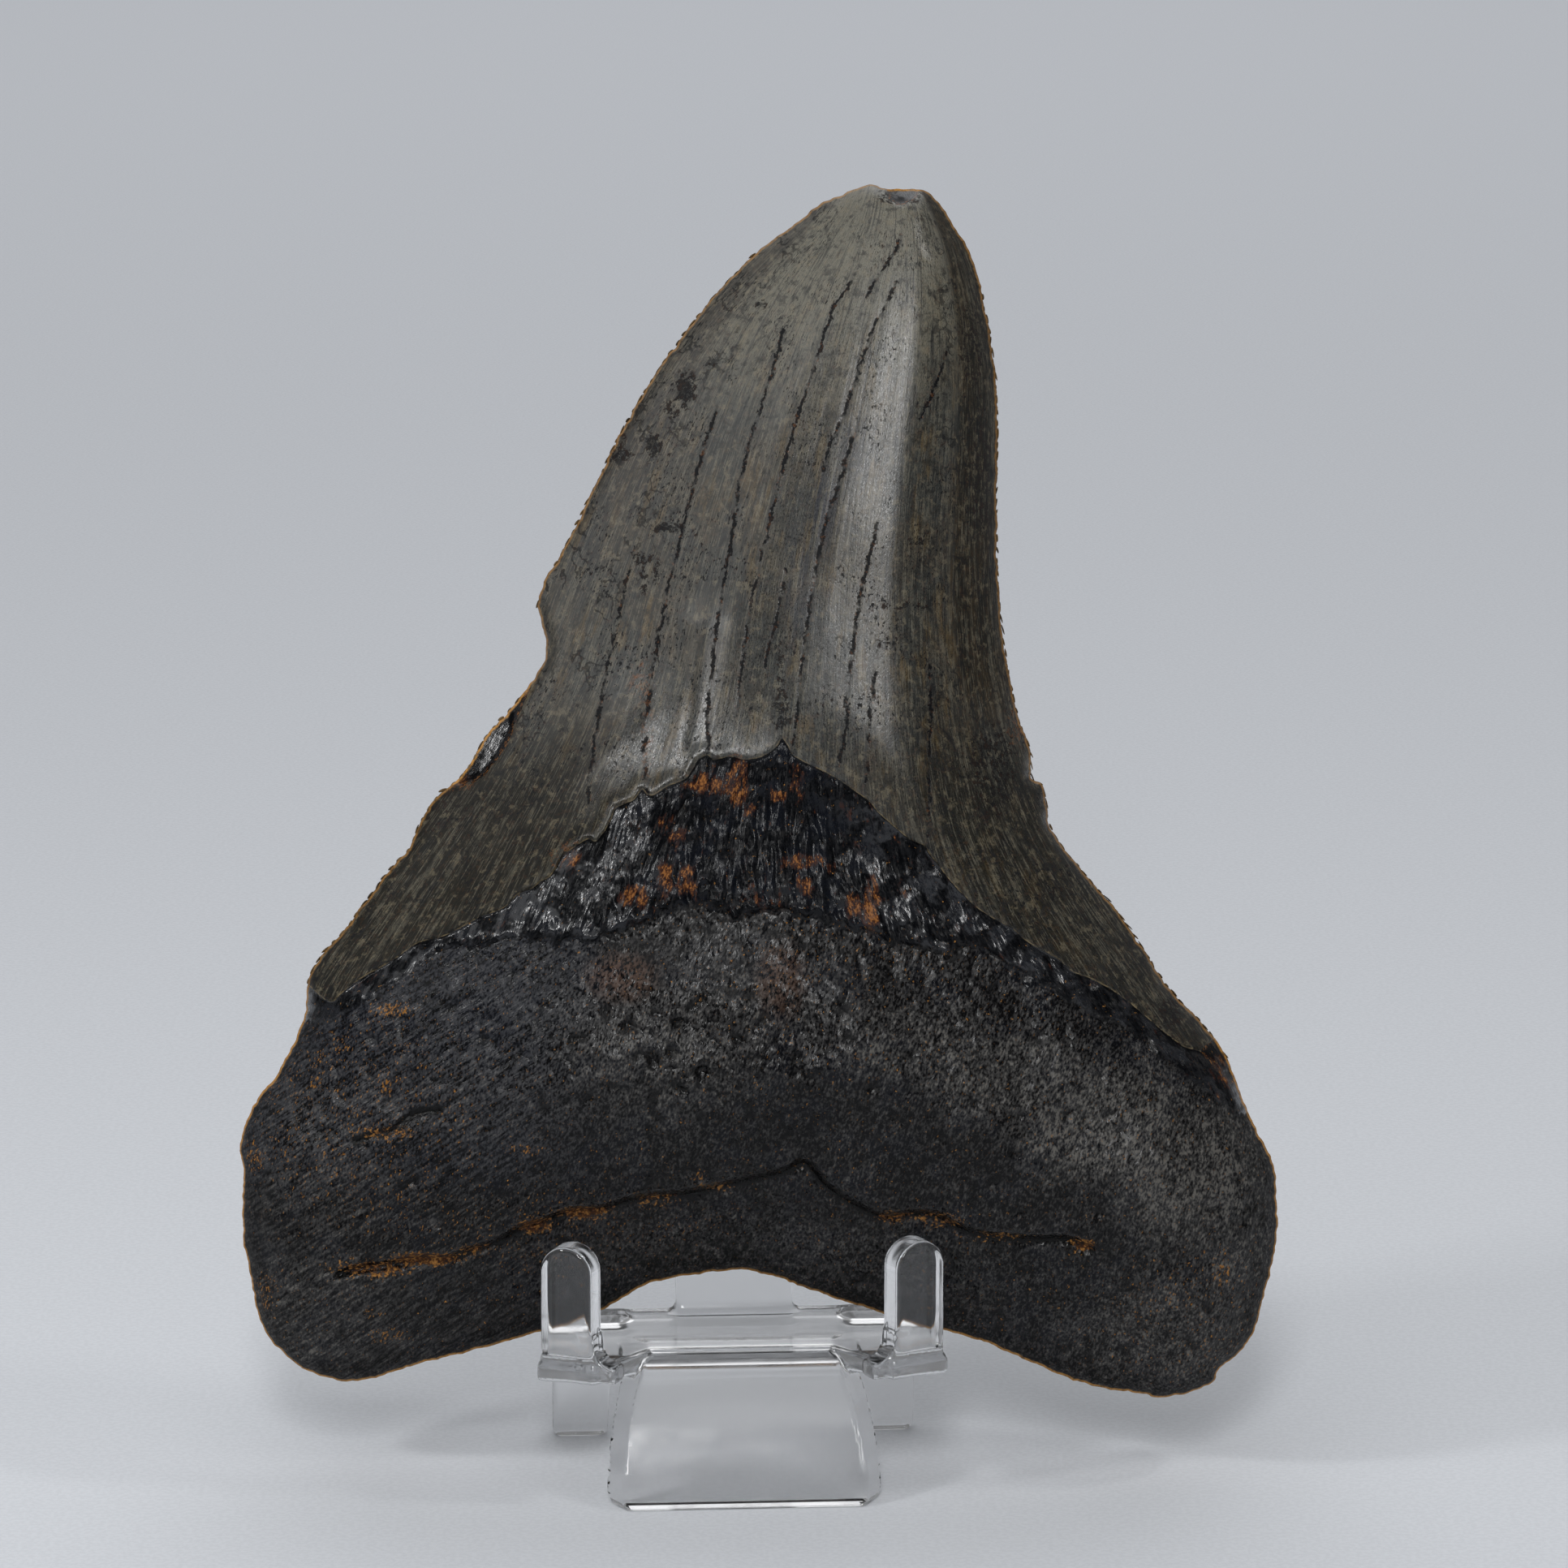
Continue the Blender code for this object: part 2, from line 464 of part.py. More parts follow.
# ---- The stand -------------------------------------------------------------------------------------
def extruded(outline, frame, thickness):
    """A flat outline in a frame's first two axes, extruded by a thickness along its third."""
    mesh = bmesh.new()
    face = mesh.faces.new([mesh.verts.new((x, y, 0)) for x, y in outline])
    grown = bmesh.ops.extrude_face_region(mesh, geom=[face])["geom"]
    moved = [item for item in grown if isinstance(item, bmesh.types.BMVert)]
    bmesh.ops.translate(mesh, verts=moved, vec=(0, 0, thickness))
    mesh.transform(frame)
    mesh.transform(Matrix.Scale(MM, 4))
    bmesh.ops.recalc_face_normals(mesh, faces=mesh.faces[:])
    return mesh


def bent_sheet(stations, thickness):
    """A sheet bent along a side view: each station is depth, level, left and right edge."""
    mesh = bmesh.new()
    line = np.array([(y, z) for y, z, _, _ in stations])
    ahead = np.gradient(line, axis=0)
    normal = np.stack([-ahead[:, 1], ahead[:, 0]], axis=1) / np.linalg.norm(ahead, axis=1)[:, None]
    normal[-1] = (1, 0) if normal[-1][0] > 0 else (-1, 0)  # cut level where the sheet meets the floor
    rings = []
    for (y, z, left, right), (ny, nz) in zip(stations, normal * thickness):
        corners = ((left, y, z), (right, y, z), (right, y + ny, z + nz), (left, y + ny, z + nz))
        rings.append([mesh.verts.new([size * MM for size in corner]) for corner in corners])
    for ring, following in zip(rings, rings[1:]):
        for one in range(4):
            other = (one + 1) % 4
            mesh.faces.new((ring[one], ring[other], following[other], following[one]))
    mesh.faces.new(rings[0][::-1])
    mesh.faces.new(rings[-1])
    bmesh.ops.recalc_face_normals(mesh, faces=mesh.faces[:])
    return mesh


def arc(centre, radius, start, end, pieces):
    """Points on an arc, angles in degrees."""
    angles = np.radians(np.linspace(start, end, pieces + 1))
    return [(centre[0] + radius * cos(a), centre[1] + radius * sin(a)) for a in angles]


def shelf_outline():
    """Top view of the shelf, a little wider in front where the prongs' arms leave it."""
    arm = SHELF_HALF - PRONG_WIDTH
    right = [
        (FOOT_TOP_HALF, SHELF_FRONT), (arm - 2.1, SHELF_FRONT), (arm, SHELF_FRONT - ARM_ROOT),
        (SHELF_HALF, SHELF_FRONT - ARM_ROOT), (SHELF_HALF, SHELF_FRONT + 3.0), (LEG_OUTER_HALF, SHELF_REAR),
    ]
    return right + [(-x, y) for x, y in reversed(right)]


def prong_frame(side):
    """Across the prong towards the middle, up, and from its front face back; side -1 is the left one."""
    inward = Vector((-side * cos(PRONG_TURN), -sin(PRONG_TURN), 0))
    frame = Matrix((inward, inward.cross((0, 0, side)), Vector((0, 0, 1)))).transposed().to_4x4()
    frame.translation = (side * PRONG_X, PRONG_Y, SHELF_TOP)
    return frame


def prong(side):
    """A strip that comes forward from the shelf and bends up to a prong with a round top."""
    bottom = -PRONG_THICK
    half = PRONG_WIDTH / 2
    bend = arc((PRONG_BEND, bottom + PRONG_BEND), PRONG_BEND, 270, 180, 5)
    stations = [(PRONG_ARM, bottom, -half, half)] + [(y, z, -half, half) for y, z in bend]
    for across, up in arc((0, PRONG_HEIGHT - half), half, 0, 82, 7):
        stations.append((0.0, up, -across, across))
    mesh = bent_sheet(stations, -PRONG_THICK)
    mesh.transform(Matrix.Scale(1 / MM, 4))
    mesh.transform(prong_frame(side))
    mesh.transform(Matrix.Scale(MM, 4))
    bmesh.ops.recalc_face_normals(mesh, faces=mesh.faces[:])
    return mesh


def prong_fillet(side):
    """The web that rounds the inner corner between a prong and the shelf."""
    edge = PRONG_WIDTH / 2
    start, middle, bottom = edge - WEB_OVERLAP, edge + PRONG_FILLET, -0.6 * SHEET
    corner = arc((middle, PRONG_FILLET), PRONG_FILLET, 180, 270, 4)
    outline = [(start, bottom), (start, PRONG_FILLET + 1.0)] + corner + [(middle, bottom)]
    upright = Matrix(((1, 0, 0, 0), (0, 0, 1, 0), (0, 1, 0, 0), (0, 0, 0, 1)))
    return extruded(outline, prong_frame(side) @ upright, PRONG_THICK)


def foot():
    """The front foot: a tongue that leaves the shelf's front edge and curves down to the floor."""
    path = [(SHELF_FRONT + depth, SHELF_TOP + level) for depth, level in FOOT_CURVE]
    curve = curve_through(path, 1.6)
    drop = 1 - curve[:, 1] / SHELF_TOP
    widths = FOOT_TOP_HALF + (FOOT_TOE_HALF - FOOT_TOP_HALF) * (1 - (1 - drop) ** 2.2)
    return bent_sheet([(y, z, -w, w) for (y, z), w in zip(curve, widths)], SHEET)


def leg(side):
    """A rear leg, from the shelf's rear corner down and back to the floor."""
    path = [(SHELF_REAR + depth, SHELF_TOP + level) for depth, level in LEG_CURVE]
    curve = curve_through(path, 1.8)
    drop = 1 - curve[:, 1] / SHELF_TOP
    widths = LEG_WIDTH_TOP + (LEG_WIDTH_TOE - LEG_WIDTH_TOP) * (1 - (1 - drop) ** 2)
    outer = side * LEG_OUTER_HALF
    edges = [sorted((outer, outer - side * width)) for width in widths]
    return bent_sheet([(y, z, left, right) for (y, z), (left, right) in zip(curve, edges)], -SHEET)


def backrest():
    """A tongue with a round top that leans back like the tooth."""
    foot_level = -0.7 * SHEET
    top = arc((0, BACKREST_LENGTH - BACKREST_HALF_TOP), BACKREST_HALF_TOP, 0, 180, 12)
    outline = [(-BACKREST_HALF_BASE, foot_level), (BACKREST_HALF_BASE, foot_level)] + top
    frame = Matrix.Translation((0, BACKREST_Y, SHELF_TOP)) @ Matrix.Rotation(pi / 2 - LEAN, 4, "X")
    return extruded(outline, frame, -SHEET)


def make_stand(material):
    """All parts of the stand, joined to one body."""
    shelf_frame = Matrix.Translation((0, 0, SHELF_TOP - SHEET))
    stand = add_object("stand", extruded(shelf_outline(), shelf_frame, SHEET), material)
    parts = {"foot": foot(), "backrest": backrest()}
    for side, word in ((-1, "left"), (1, "right")):
        parts["prong_" + word] = prong(side)
        parts["fillet_" + word] = prong_fillet(side)
        parts["leg_" + word] = leg(side)
    for name, mesh in parts.items():
        part = add_object("add_" + name, mesh, material)
        part.hide_render = True
        part.display_type = "WIRE"
        part.parent = stand
        union = stand.modifiers.new("join " + name, "BOOLEAN")
        union.operation = "UNION"
        union.solver = "EXACT"
        union.object = part
    return stand


# ---- Objects and materials -------------------------------------------------------------------------
def make_material(name, colour, roughness, alpha=1.0):
    """A Principled material; the colour is linear red, green, blue."""
    material = bpy.data.materials.new(name)
    material.use_nodes = True
    shader = material.node_tree.nodes["Principled BSDF"]
    shader.inputs["Base Color"].default_value = (*colour, 1.0)
    shader.inputs["Roughness"].default_value = roughness
    shader.inputs["Metallic"].default_value = 0.0
    shader.inputs["Alpha"].default_value = alpha
    return material


def add_object(name, mesh, material):
    data = bpy.data.meshes.new(name)
    mesh.to_mesh(data)
    mesh.free()
    data.materials.append(material)
    data.shade_smooth()
    data.set_sharp_from_angle(angle=radians(35))
    thing = bpy.data.objects.new(name, data)
    bpy.context.scene.collection.objects.link(thing)
    return thing


def bounds_of(objects):
    """Lowest and highest corner of the evaluated objects."""
    bpy.context.view_layer.update()
    graph = bpy.context.evaluated_depsgraph_get()
    corners = []
    for thing in objects:
        shaped = thing.evaluated_get(graph)
        corners += [thing.matrix_world @ vert.co for vert in shaped.data.vertices]
    corners = np.array(corners)
    return corners.min(axis=0), corners.max(axis=0)


def main():
    for thing in list(bpy.data.objects):
        bpy.data.objects.remove(thing)
    fossil = make_material("fossil tooth", (0.036, 0.034, 0.031), 0.45)
    clear = make_material("clear acrylic", (0.92, 0.94, 0.95), 0.05, alpha=0.3)

    tooth = make_tooth(fossil)
    tooth.location = (TOOTH_X * MM, TOOTH_DEPTH * MM, LOBE_CLEARANCE * MM)
    tooth.rotation_euler = (-LEAN, 0, 0)
    stand = make_stand(clear)
    stand.location = (STAND_X * MM, 0, 0)
    stand.rotation_euler = (0, 0, STAND_TURN)

    whole = bpy.data.objects.new("megalodon_tooth_on_stand", None)
    bpy.context.scene.collection.objects.link(whole)
    low, high = bounds_of([tooth, stand])
    for thing in (tooth, stand):
        thing.parent = whole
    whole.location = (-(low[0] + high[0]) / 2, -(low[1] + high[1]) / 2, -low[2])


main()
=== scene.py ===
# %% [markdown]
# # A fossil shark tooth on its clear easel
# The object has two separate pieces. One is a large fossil tooth: a crown of worn grey enamel, a dark
# ribbed band under it, and a granular root with two lobes. The other is a small easel moulded in clear
# acrylic, which the tooth only rests on. This notebook builds both over a plain solid frame, which fixes
# the sizes and places, and then sets up a floor, soft light and a camera.

# %% Load the frame
from math import cos, pi, radians, sin

import bmesh
import bpy
import numpy as np
from mathutils import Matrix, Vector, kdtree, noise
from mathutils.geometry import delaunay_2d_cdt


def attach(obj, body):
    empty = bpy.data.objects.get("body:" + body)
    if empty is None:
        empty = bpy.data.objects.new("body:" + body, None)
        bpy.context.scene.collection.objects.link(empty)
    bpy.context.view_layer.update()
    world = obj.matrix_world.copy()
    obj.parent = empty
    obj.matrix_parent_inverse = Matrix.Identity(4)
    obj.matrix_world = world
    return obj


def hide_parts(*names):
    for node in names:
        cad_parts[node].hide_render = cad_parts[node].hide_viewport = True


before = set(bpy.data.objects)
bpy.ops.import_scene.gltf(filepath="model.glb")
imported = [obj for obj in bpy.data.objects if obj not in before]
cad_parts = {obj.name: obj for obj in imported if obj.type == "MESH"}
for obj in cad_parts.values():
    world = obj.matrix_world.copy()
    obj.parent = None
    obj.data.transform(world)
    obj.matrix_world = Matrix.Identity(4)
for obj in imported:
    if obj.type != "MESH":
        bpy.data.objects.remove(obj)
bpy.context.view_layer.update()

MM = 0.001

# %% [markdown]
# ## Lines that describe the tooth
# A tooth seen from its inner face is an outline and a few lines drawn on it: the jagged edge of the
# enamel, the ragged foot of the ribbed band, the long fold across the root, and fine cracks. Tracing one
# of these as a mesh would be slow to change. Here each is a short list of points in millimetres, across
# from the middle and up from the ends of the lobes, and everything else is worked out from the lists.

# %% Outline and height levels
LEAN = radians(12.0)  # the tooth leans back by this much
TOOTH_PLACE = (-0.065, -6.312, 7.05)  # where the outline plane's corner sits in the frame, mm
TIP = [(7.5, 115.5), (10.9, 116.7), (12.7, 116.3), (15.5, 116.3), (17.0, 115.4)]
RIGHT_EDGE = [
    (18.8, 112.9), (20.6, 109.7), (21.6, 106.0), (22.5, 101.1), (23.0, 95.5), (23.0, 88.3), (23.0, 80.7),
    (23.5, 73.8), (24.5, 67.8), (25.2, 65.1), (26.2, 62.0), (26.4, 59.5), (27.3, 59.1), (28.1, 55.1),
    (29.5, 52.8), (31.6, 50.3), (34.1, 47.4), (36.4, 44.3), (39.5, 39.5), (42.7, 36.1), (45.0, 33.0),
]
RIGHT_LOBE = [
    (46.1, 30.3), (47.7, 26.4), (49.4, 23.0), (50.0, 19.1), (49.8, 14.4), (48.9, 10.4), (47.6, 6.1),
    (45.7, 3.7), (44.2, 2.6), (43.9, 1.6), (41.8, 0.6), (39.0, 0.0), (36.9, 0.3),
]
ARCH = [
    (31.9, 1.2), (27.2, 3.0), (23.4, 4.7), (19.9, 6.0), (18.0, 6.5), (14.5, 7.3), (11.5, 8.3), (7.2, 9.6),
    (2.1, 11.5), (-2.0, 12.3), (-6.2, 11.9), (-10.7, 10.9), (-14.6, 8.7), (-17.9, 7.3), (-20.9, 6.4),
    (-26.3, 4.8), (-32.2, 3.4), (-38.0, 1.7),
]
LEFT_LOBE = [
    (-41.6, 1.9), (-44.5, 3.3), (-47.6, 6.6), (-48.8, 11.3), (-49.7, 17.1), (-49.6, 22.3), (-50.0, 24.2),
    (-49.2, 26.8), (-48.0, 29.2), (-46.7, 30.5), (-45.3, 33.1), (-43.7, 36.8),
]
LEFT_EDGE = [
    (-43.3, 40.2), (-42.2, 42.3), (-39.7, 45.2), (-35.5, 50.8), (-33.6, 52.9), (-32.6, 55.2),
    (-30.8, 58.0), (-28.7, 59.7), (-26.1, 63.7), (-23.2, 67.1), (-21.3, 69.7), (-20.4, 71.5),
    (-20.6, 73.6), (-21.2, 76.4), (-20.6, 78.4), (-19.0, 81.1), (-16.7, 85.6), (-15.9, 87.3),
    (-13.5, 92.3), (-9.8, 98.6), (-5.2, 104.8), (-0.5, 109.9), (3.8, 113.1), (5.2, 114.3),
]
# The crown's width without its notches: level, left edge, right edge
MARGINS = [
    (118.0, 8.0, 15.5), (112.9, 3.0, 18.8), (106.0, -4.2, 21.5), (98.6, -10.0, 22.8), (92.3, -13.6, 23.1),
    (85.6, -16.8, 23.1), (78.0, -20.0, 23.3), (70.0, -23.2, 24.3), (62.0, -27.6, 26.3),
    (55.0, -32.4, 29.2), (47.4, -38.0, 34.0), (40.0, -43.0, 39.6), (33.0, -46.3, 44.6),
    (25.0, -49.2, 48.2), (15.0, -50.0, 50.0), (-2.0, -50.0, 50.0),
]
OUTLINE = TIP + RIGHT_EDGE + RIGHT_LOBE + ARCH + LEFT_LOBE + LEFT_EDGE
print("outline points:", len(OUTLINE))

# %% Lines and cracks on the inner face
ENAMEL_EDGE = [
    (-46.0, 38.6), (-43.3, 39.7), (-42.2, 39.1), (-41.3, 38.5), (-40.5, 38.4), (-39.8, 39.1),
    (-38.7, 40.0), (-37.2, 41.0), (-35.5, 41.9), (-34.0, 42.9), (-32.4, 44.0), (-30.1, 44.6),
    (-28.2, 45.5), (-26.3, 46.6), (-24.8, 47.1), (-23.8, 47.6), (-22.9, 48.6), (-22.2, 49.0),
    (-21.3, 49.3), (-20.5, 50.0), (-19.8, 50.3), (-19.0, 51.4), (-18.4, 52.5), (-17.3, 53.2),
    (-16.6, 53.7), (-16.0, 54.0), (-15.4, 53.7), (-14.4, 54.9), (-13.9, 55.8), (-13.4, 56.9),
    (-11.7, 57.7), (-10.9, 58.7), (-10.6, 58.3), (-10.0, 58.1), (-8.5, 59.0), (-6.8, 59.7),
    (-5.9, 61.0), (-5.5, 61.6), (-4.7, 61.9), (-4.2, 61.5), (-2.6, 61.8), (-1.2, 61.5), (-0.2, 61.6),
    (0.7, 61.9), (1.3, 62.3), (1.9, 62.9), (2.3, 63.5), (2.8, 62.9), (3.3, 62.0), (4.0, 61.5),
    (5.4, 60.8), (7.7, 59.6), (9.5, 58.3), (10.5, 57.6), (11.4, 56.5), (13.0, 55.1), (14.3, 54.0),
    (15.8, 53.3), (16.2, 52.6), (16.9, 51.8), (17.4, 51.1), (18.3, 49.9), (19.3, 48.9), (20.6, 47.6),
    (22.4, 46.4), (24.1, 45.5), (25.3, 44.4), (27.2, 43.3), (28.5, 42.6), (29.8, 41.4), (31.4, 40.8),
    (33.5, 39.7), (35.1, 38.6), (36.6, 37.3), (38.0, 36.1), (39.5, 34.9), (40.8, 34.0), (42.2, 33.6),
    (44.3, 32.2), (48.0, 28.0),
]
CROWN_BASE = [
    (-48.0, 37.5), (-30.0, 44.8), (-18.0, 52.0), (-8.0, 59.0), (0.0, 61.5), (8.0, 58.8), (18.0, 50.6),
    (30.0, 41.6), (42.0, 33.6), (50.0, 27.5),
]
BAND_FOOT = [
    (-44.0, 35.5), (-38.5, 38.0), (-33.5, 41.2), (-29.2, 43.6), (-25.5, 44.1), (-22.8, 44.6),
    (-18.0, 44.5), (-13.3, 45.1), (-8.9, 47.3), (-5.5, 48.0), (-2.1, 47.0), (3.0, 47.2),
    (6.3, 46.3), (9.8, 45.5), (13.1, 44.3), (17.5, 43.6), (20.5, 44.0), (24.0, 42.2), (29.0, 39.2),
    (35.0, 36.0), (40.0, 32.2), (46.0, 27.5),
]
FOLD = [
    (-39.8, 12.5), (-38.0, 13.0), (-35.8, 13.3), (-32.2, 13.9), (-29.5, 14.0), (-27.4, 14.8),
    (-24.8, 15.6), (-22.6, 16.8), (-20.1, 17.7), (-18.4, 18.4), (-14.2, 18.9), (-12.2, 19.6),
    (-5.8, 20.4), (-2.7, 21.2), (2.6, 22.5), (4.4, 23.3), (6.4, 21.2), (8.1, 19.9), (10.2, 18.7),
    (12.3, 18.0), (14.8, 18.4), (16.7, 18.3), (18.9, 17.2), (20.4, 16.6), (25.1, 16.0), (29.6, 15.9),
    (31.5, 15.1),
]
UPPER_CRACK = [(-38.2, 25.4), (-36.1, 26.0), (-34.2, 26.6), (-32.4, 28.0), (-30.1, 28.5)]
TORUS_CREST = [
    (-47.0, 19.0), (-40.0, 25.2), (-26.0, 29.5), (-12.0, 33.0), (1.2, 33.8), (13.0, 31.5),
    (24.7, 27.2), (36.4, 22.9), (46.6, 17.4),
]
BACK_ENAMEL_LINE = [
    (-46.5, 38.0), (-43.0, 38.5), (-30.0, 35.5), (-12.0, 39.5), (2.0, 41.5), (16.0, 39.0), (32.0, 33.5),
    (44.0, 31.5), (48.5, 30.0),
]
CRACKS = [
    [(13.6, 111.3), (13.0, 109.8), (11.8, 108.0), (10.2, 105.4)],
    [(13.2, 107.0), (11.4, 103.2), (9.9, 99.3), (8.5, 95.0), (6.7, 90.7), (6.3, 88.9)],
    [(9.3, 107.7), (7.3, 104.4), (5.5, 99.1), (3.8, 94.0), (2.4, 89.1),
     (1.0, 83.3), (-0.3, 77.5), (-1.5, 70.2), (-2.0, 66.5)],
    [(2.5, 102.4), (1.2, 97.8), (-0.3, 93.2), (-1.6, 88.3), (-2.5, 82.6),
     (-3.4, 77.5), (-4.1, 71.9), (-4.7, 66.8), (-4.7, 61.7)],
    [(-3.8, 95.3), (-5.4, 90.1), (-6.6, 85.6), (-7.5, 81.8), (-8.7, 77.2),
     (-9.7, 71.9), (-10.3, 67.6), (-10.8, 62.7), (-10.5, 58.4)],
    [(-11.7, 81.8), (-13.0, 76.6), (-14.1, 71.7), (-15.1, 66.4), (-15.9, 60.4), (-16.1, 57.4)],
    [(9.4, 93.7), (8.7, 90.9), (7.7, 87.6), (6.9, 85.3), (5.9, 82.0)],
    [(2.6, 79.6), (2.0, 76.0), (1.5, 73.6), (0.9, 71.9), (0.6, 70.2)],
    [(11.4, 83.8), (10.5, 80.3), (9.5, 76.1), (9.0, 71.9), (8.4, 67.8), (8.3, 64.3), (7.7, 60.8)],
    [(6.2, 83.1), (5.5, 79.3), (4.8, 74.7), (4.2, 70.9), (3.9, 67.1), (3.4, 62.9)],
    [(11.2, 69.8), (10.9, 67.1), (10.5, 64.3), (10.3, 59.4)],
    [(16.2, 70.5), (16.4, 66.4), (16.2, 62.9), (16.2, 57.6), (16.1, 53.1)],
    [(18.0, 100.2), (16.9, 97.1), (15.3, 93.6)],
]
print("cracks in the enamel:", len(CRACKS))

# %% [markdown]
# ## Helpers for lines in a plane
# A list of points becomes a smooth curve with even spacing, so a line can be as fine as the mesh needs.
# The distance from every mesh point to a line drives most of the relief and most of the colour: a crack
# is dark where that distance is nearly nothing. A search tree answers it for a hundred thousand points
# in a moment, where a loop over all the pieces of the line would take minutes.

# %% Curves, distances and smooth steps
def curve_through(points, step, closed=False):
    """Points about a step apart along a smooth curve through the given ones."""
    knots = np.array(points, float)
    if closed:
        knots = np.vstack([knots[-1:], knots, knots[:2]])
    else:
        knots = np.vstack([2 * knots[0] - knots[1], knots, 2 * knots[-1] - knots[-2]])
    curve = []
    for p0, p1, p2, p3 in zip(knots, knots[1:], knots[2:], knots[3:]):
        a, b, c = (max(np.linalg.norm(q - p) ** 0.5, 1e-6) for p, q in ((p0, p1), (p1, p2), (p2, p3)))
        out_slope = (p1 - p0) / a - (p2 - p0) / (a + b) + (p2 - p1) / b
        in_slope = (p2 - p1) / b - (p3 - p1) / (b + c) + (p3 - p2) / c
        pieces = max(2, int(np.ceil(np.linalg.norm(p2 - p1) / (0.25 * step))))
        t = np.linspace(0, 1, pieces, endpoint=False)[:, None]
        curve.append((1 + 2 * t) * (1 - t) ** 2 * p1 + t * (1 - t) ** 2 * b * out_slope
                     + t * t * (3 - 2 * t) * p2 + t * t * (t - 1) * b * in_slope)
    curve.append(knots[1:2] if closed else knots[-2:-1])
    curve = np.vstack(curve)
    along = np.concatenate([[0], np.cumsum(np.linalg.norm(np.diff(curve, axis=0), axis=1))])
    count = max(3, round(along[-1] / step))
    stations = np.linspace(0, along[-1], count + 1)
    even = np.stack([np.interp(stations, along, curve[:, axis]) for axis in (0, 1)], axis=1)
    return even[:-1] if closed else even


def search_tree(points):
    tree = kdtree.KDTree(len(points))
    for number, point in enumerate(points):
        tree.insert((point[0], point[1], 0), number)
    tree.balance()
    return tree


def distance_to(points, lines, spacing=0.05):
    """Distance from each point to the nearest of several lines."""
    tree = search_tree(np.vstack([curve_through(line, spacing) for line in lines]))
    return np.array([tree.find((x, y, 0))[2] for x, y in points])


def level_above(points, line):
    """How far each point lies above a line that runs from left to right."""
    curve = curve_through(line, 0.1)
    return points[:, 1] - np.interp(points[:, 0], curve[:, 0], curve[:, 1])


def signed_distance(points, line):
    """Distance to a line from left to right, negative below it."""
    return distance_to(points, [line]) * np.sign(level_above(points, line))


def inside(points, polygon):
    """Which points lie inside a closed polygon."""
    result = np.zeros(len(points), bool)
    for (x0, y0), (x1, y1) in zip(polygon, np.roll(polygon, -1, axis=0)):
        if y0 == y1:
            continue
        crosses = (y0 > points[:, 1]) != (y1 > points[:, 1])
        result ^= crosses & (points[:, 0] < (x1 - x0) * (points[:, 1] - y0) / (y1 - y0) + x0)
    return result


def smooth_rise(low, high, value):
    """0 below low, 1 above high, smooth between."""
    t = np.clip((value - low) / (high - low), 0, 1)
    return t * t * (3 - 2 * t)


def rounded(distance, radius):
    """Height of a quarter round, from 0 at the rim to 1 a radius away."""
    t = 1 - np.clip(distance / radius, 0, 1)
    return np.sqrt(np.maximum(1 - t * t, 0))


def bell(distance, width):
    return np.exp(-(distance / width) ** 2)


def grain(points, size, seed, stretch=1.0):
    """Smooth random unevenness from -1 to 1; stretch lengthens it along the second coordinate."""
    return np.array([noise.noise(Vector((x / size, y / size / stretch, seed))) for x, y in points])


def wavering(line, sway):
    """The same line with small sideways wanders, as a crack has."""
    path = curve_through(line, 0.2)
    return path + sway * np.stack([grain(path, 1.3, 31.0) + 0.5 * grain(path, 0.45, 32.0),
                                   grain(path, 1.3, 33.0)], axis=1)


EDGE_WEAR = 0.16


def chipped_outline(step):
    """The outline with the small nicks that wear leaves in it."""
    path = curve_through(OUTLINE, step, closed=True)
    nicks = [grain(path, 1.4, seed) + 0.7 * grain(path, 0.6, seed + 1) for seed in (41.0, 43.0)]
    return path + EDGE_WEAR * np.stack(nicks, axis=1)


CRACK_PATHS = [wavering(line, 0.2) for line in CRACKS]
RIM_FINE = chipped_outline(0.04)
RIM_TREE = search_tree(RIM_FINE)


def rim_distance(points):
    return np.array([RIM_TREE.find((x, y, 0))[2] for x, y in points])


print("outline length in mm:", round(0.04 * len(RIM_FINE)))

# %% [markdown]
# ## The inner face as a height over the outline
# The tooth's bulging inner face never folds over itself, so it is a landscape: one height for each point
# of the outline's plane. Sculpting would give the same shape, but nobody could repeat it. Short functions
# add up instead: the crown's long ridge, the fat torus across the root, the drop below the fold, and then
# the small things that catch the light, such as the enamel's thickness, the ribs and the pits.

# %% Large forms of both faces
CROWN_RISE = 13.0
CROWN_RISE_WIDTH = 20.0
CREST = 0.74  # the thickest line of the crown, as a share of the way from left to right
CREST_ROUNDING = (0.24, 1.2)  # of the left and the right side, as shares of their widths
CROWN_CURVE = 1.6
CROWN_WAVE = 0.12
CROWN_WAVE_SIZE = 9.0
CROWN_BLEND = (-6.0, 8.0)  # the root turns into the crown between these heights over the crown's base
CROWN_BACK = 4.0
CROWN_BACK_WIDTH = 12.0
CROWN_BACK_CURVE = 1.8
TIP_ROUNDING = 5.0
STEP_REACH = 0.15
ENAMEL_STEP = 0.45
BACK_STEP_HEIGHT = 0.3
BAND_STEP = 0.32
LIP_SWELLING = 0.25
RIM_BLEND = 1.2
FRONT_RIM_SLOPE = 0.5
BACK_RIM_SLOPE = 0.2
ROOT_ROUNDING = 11.0
ROOT_WAVE = 0.32
ROOT_WAVE_SIZE = 5.5
BASAL_BEVEL = 0.45
BASAL_REACH = 13.0
ROOT_BACK = 5.0
ROOT_BACK_ROUNDING = 7.0
BACK_WAVE = 0.08  # as a share of the root's height
BACK_GRAIN = 0.08
BACK_GRAIN_SIZE = 1.3
BACK_HOLLOW = 1.3
BACK_HOLLOW_LEVEL = 27.0
BACK_HOLLOW_REACH = (15.0, 9.0)
BACK_BLEND = (-3.0, 9.0)
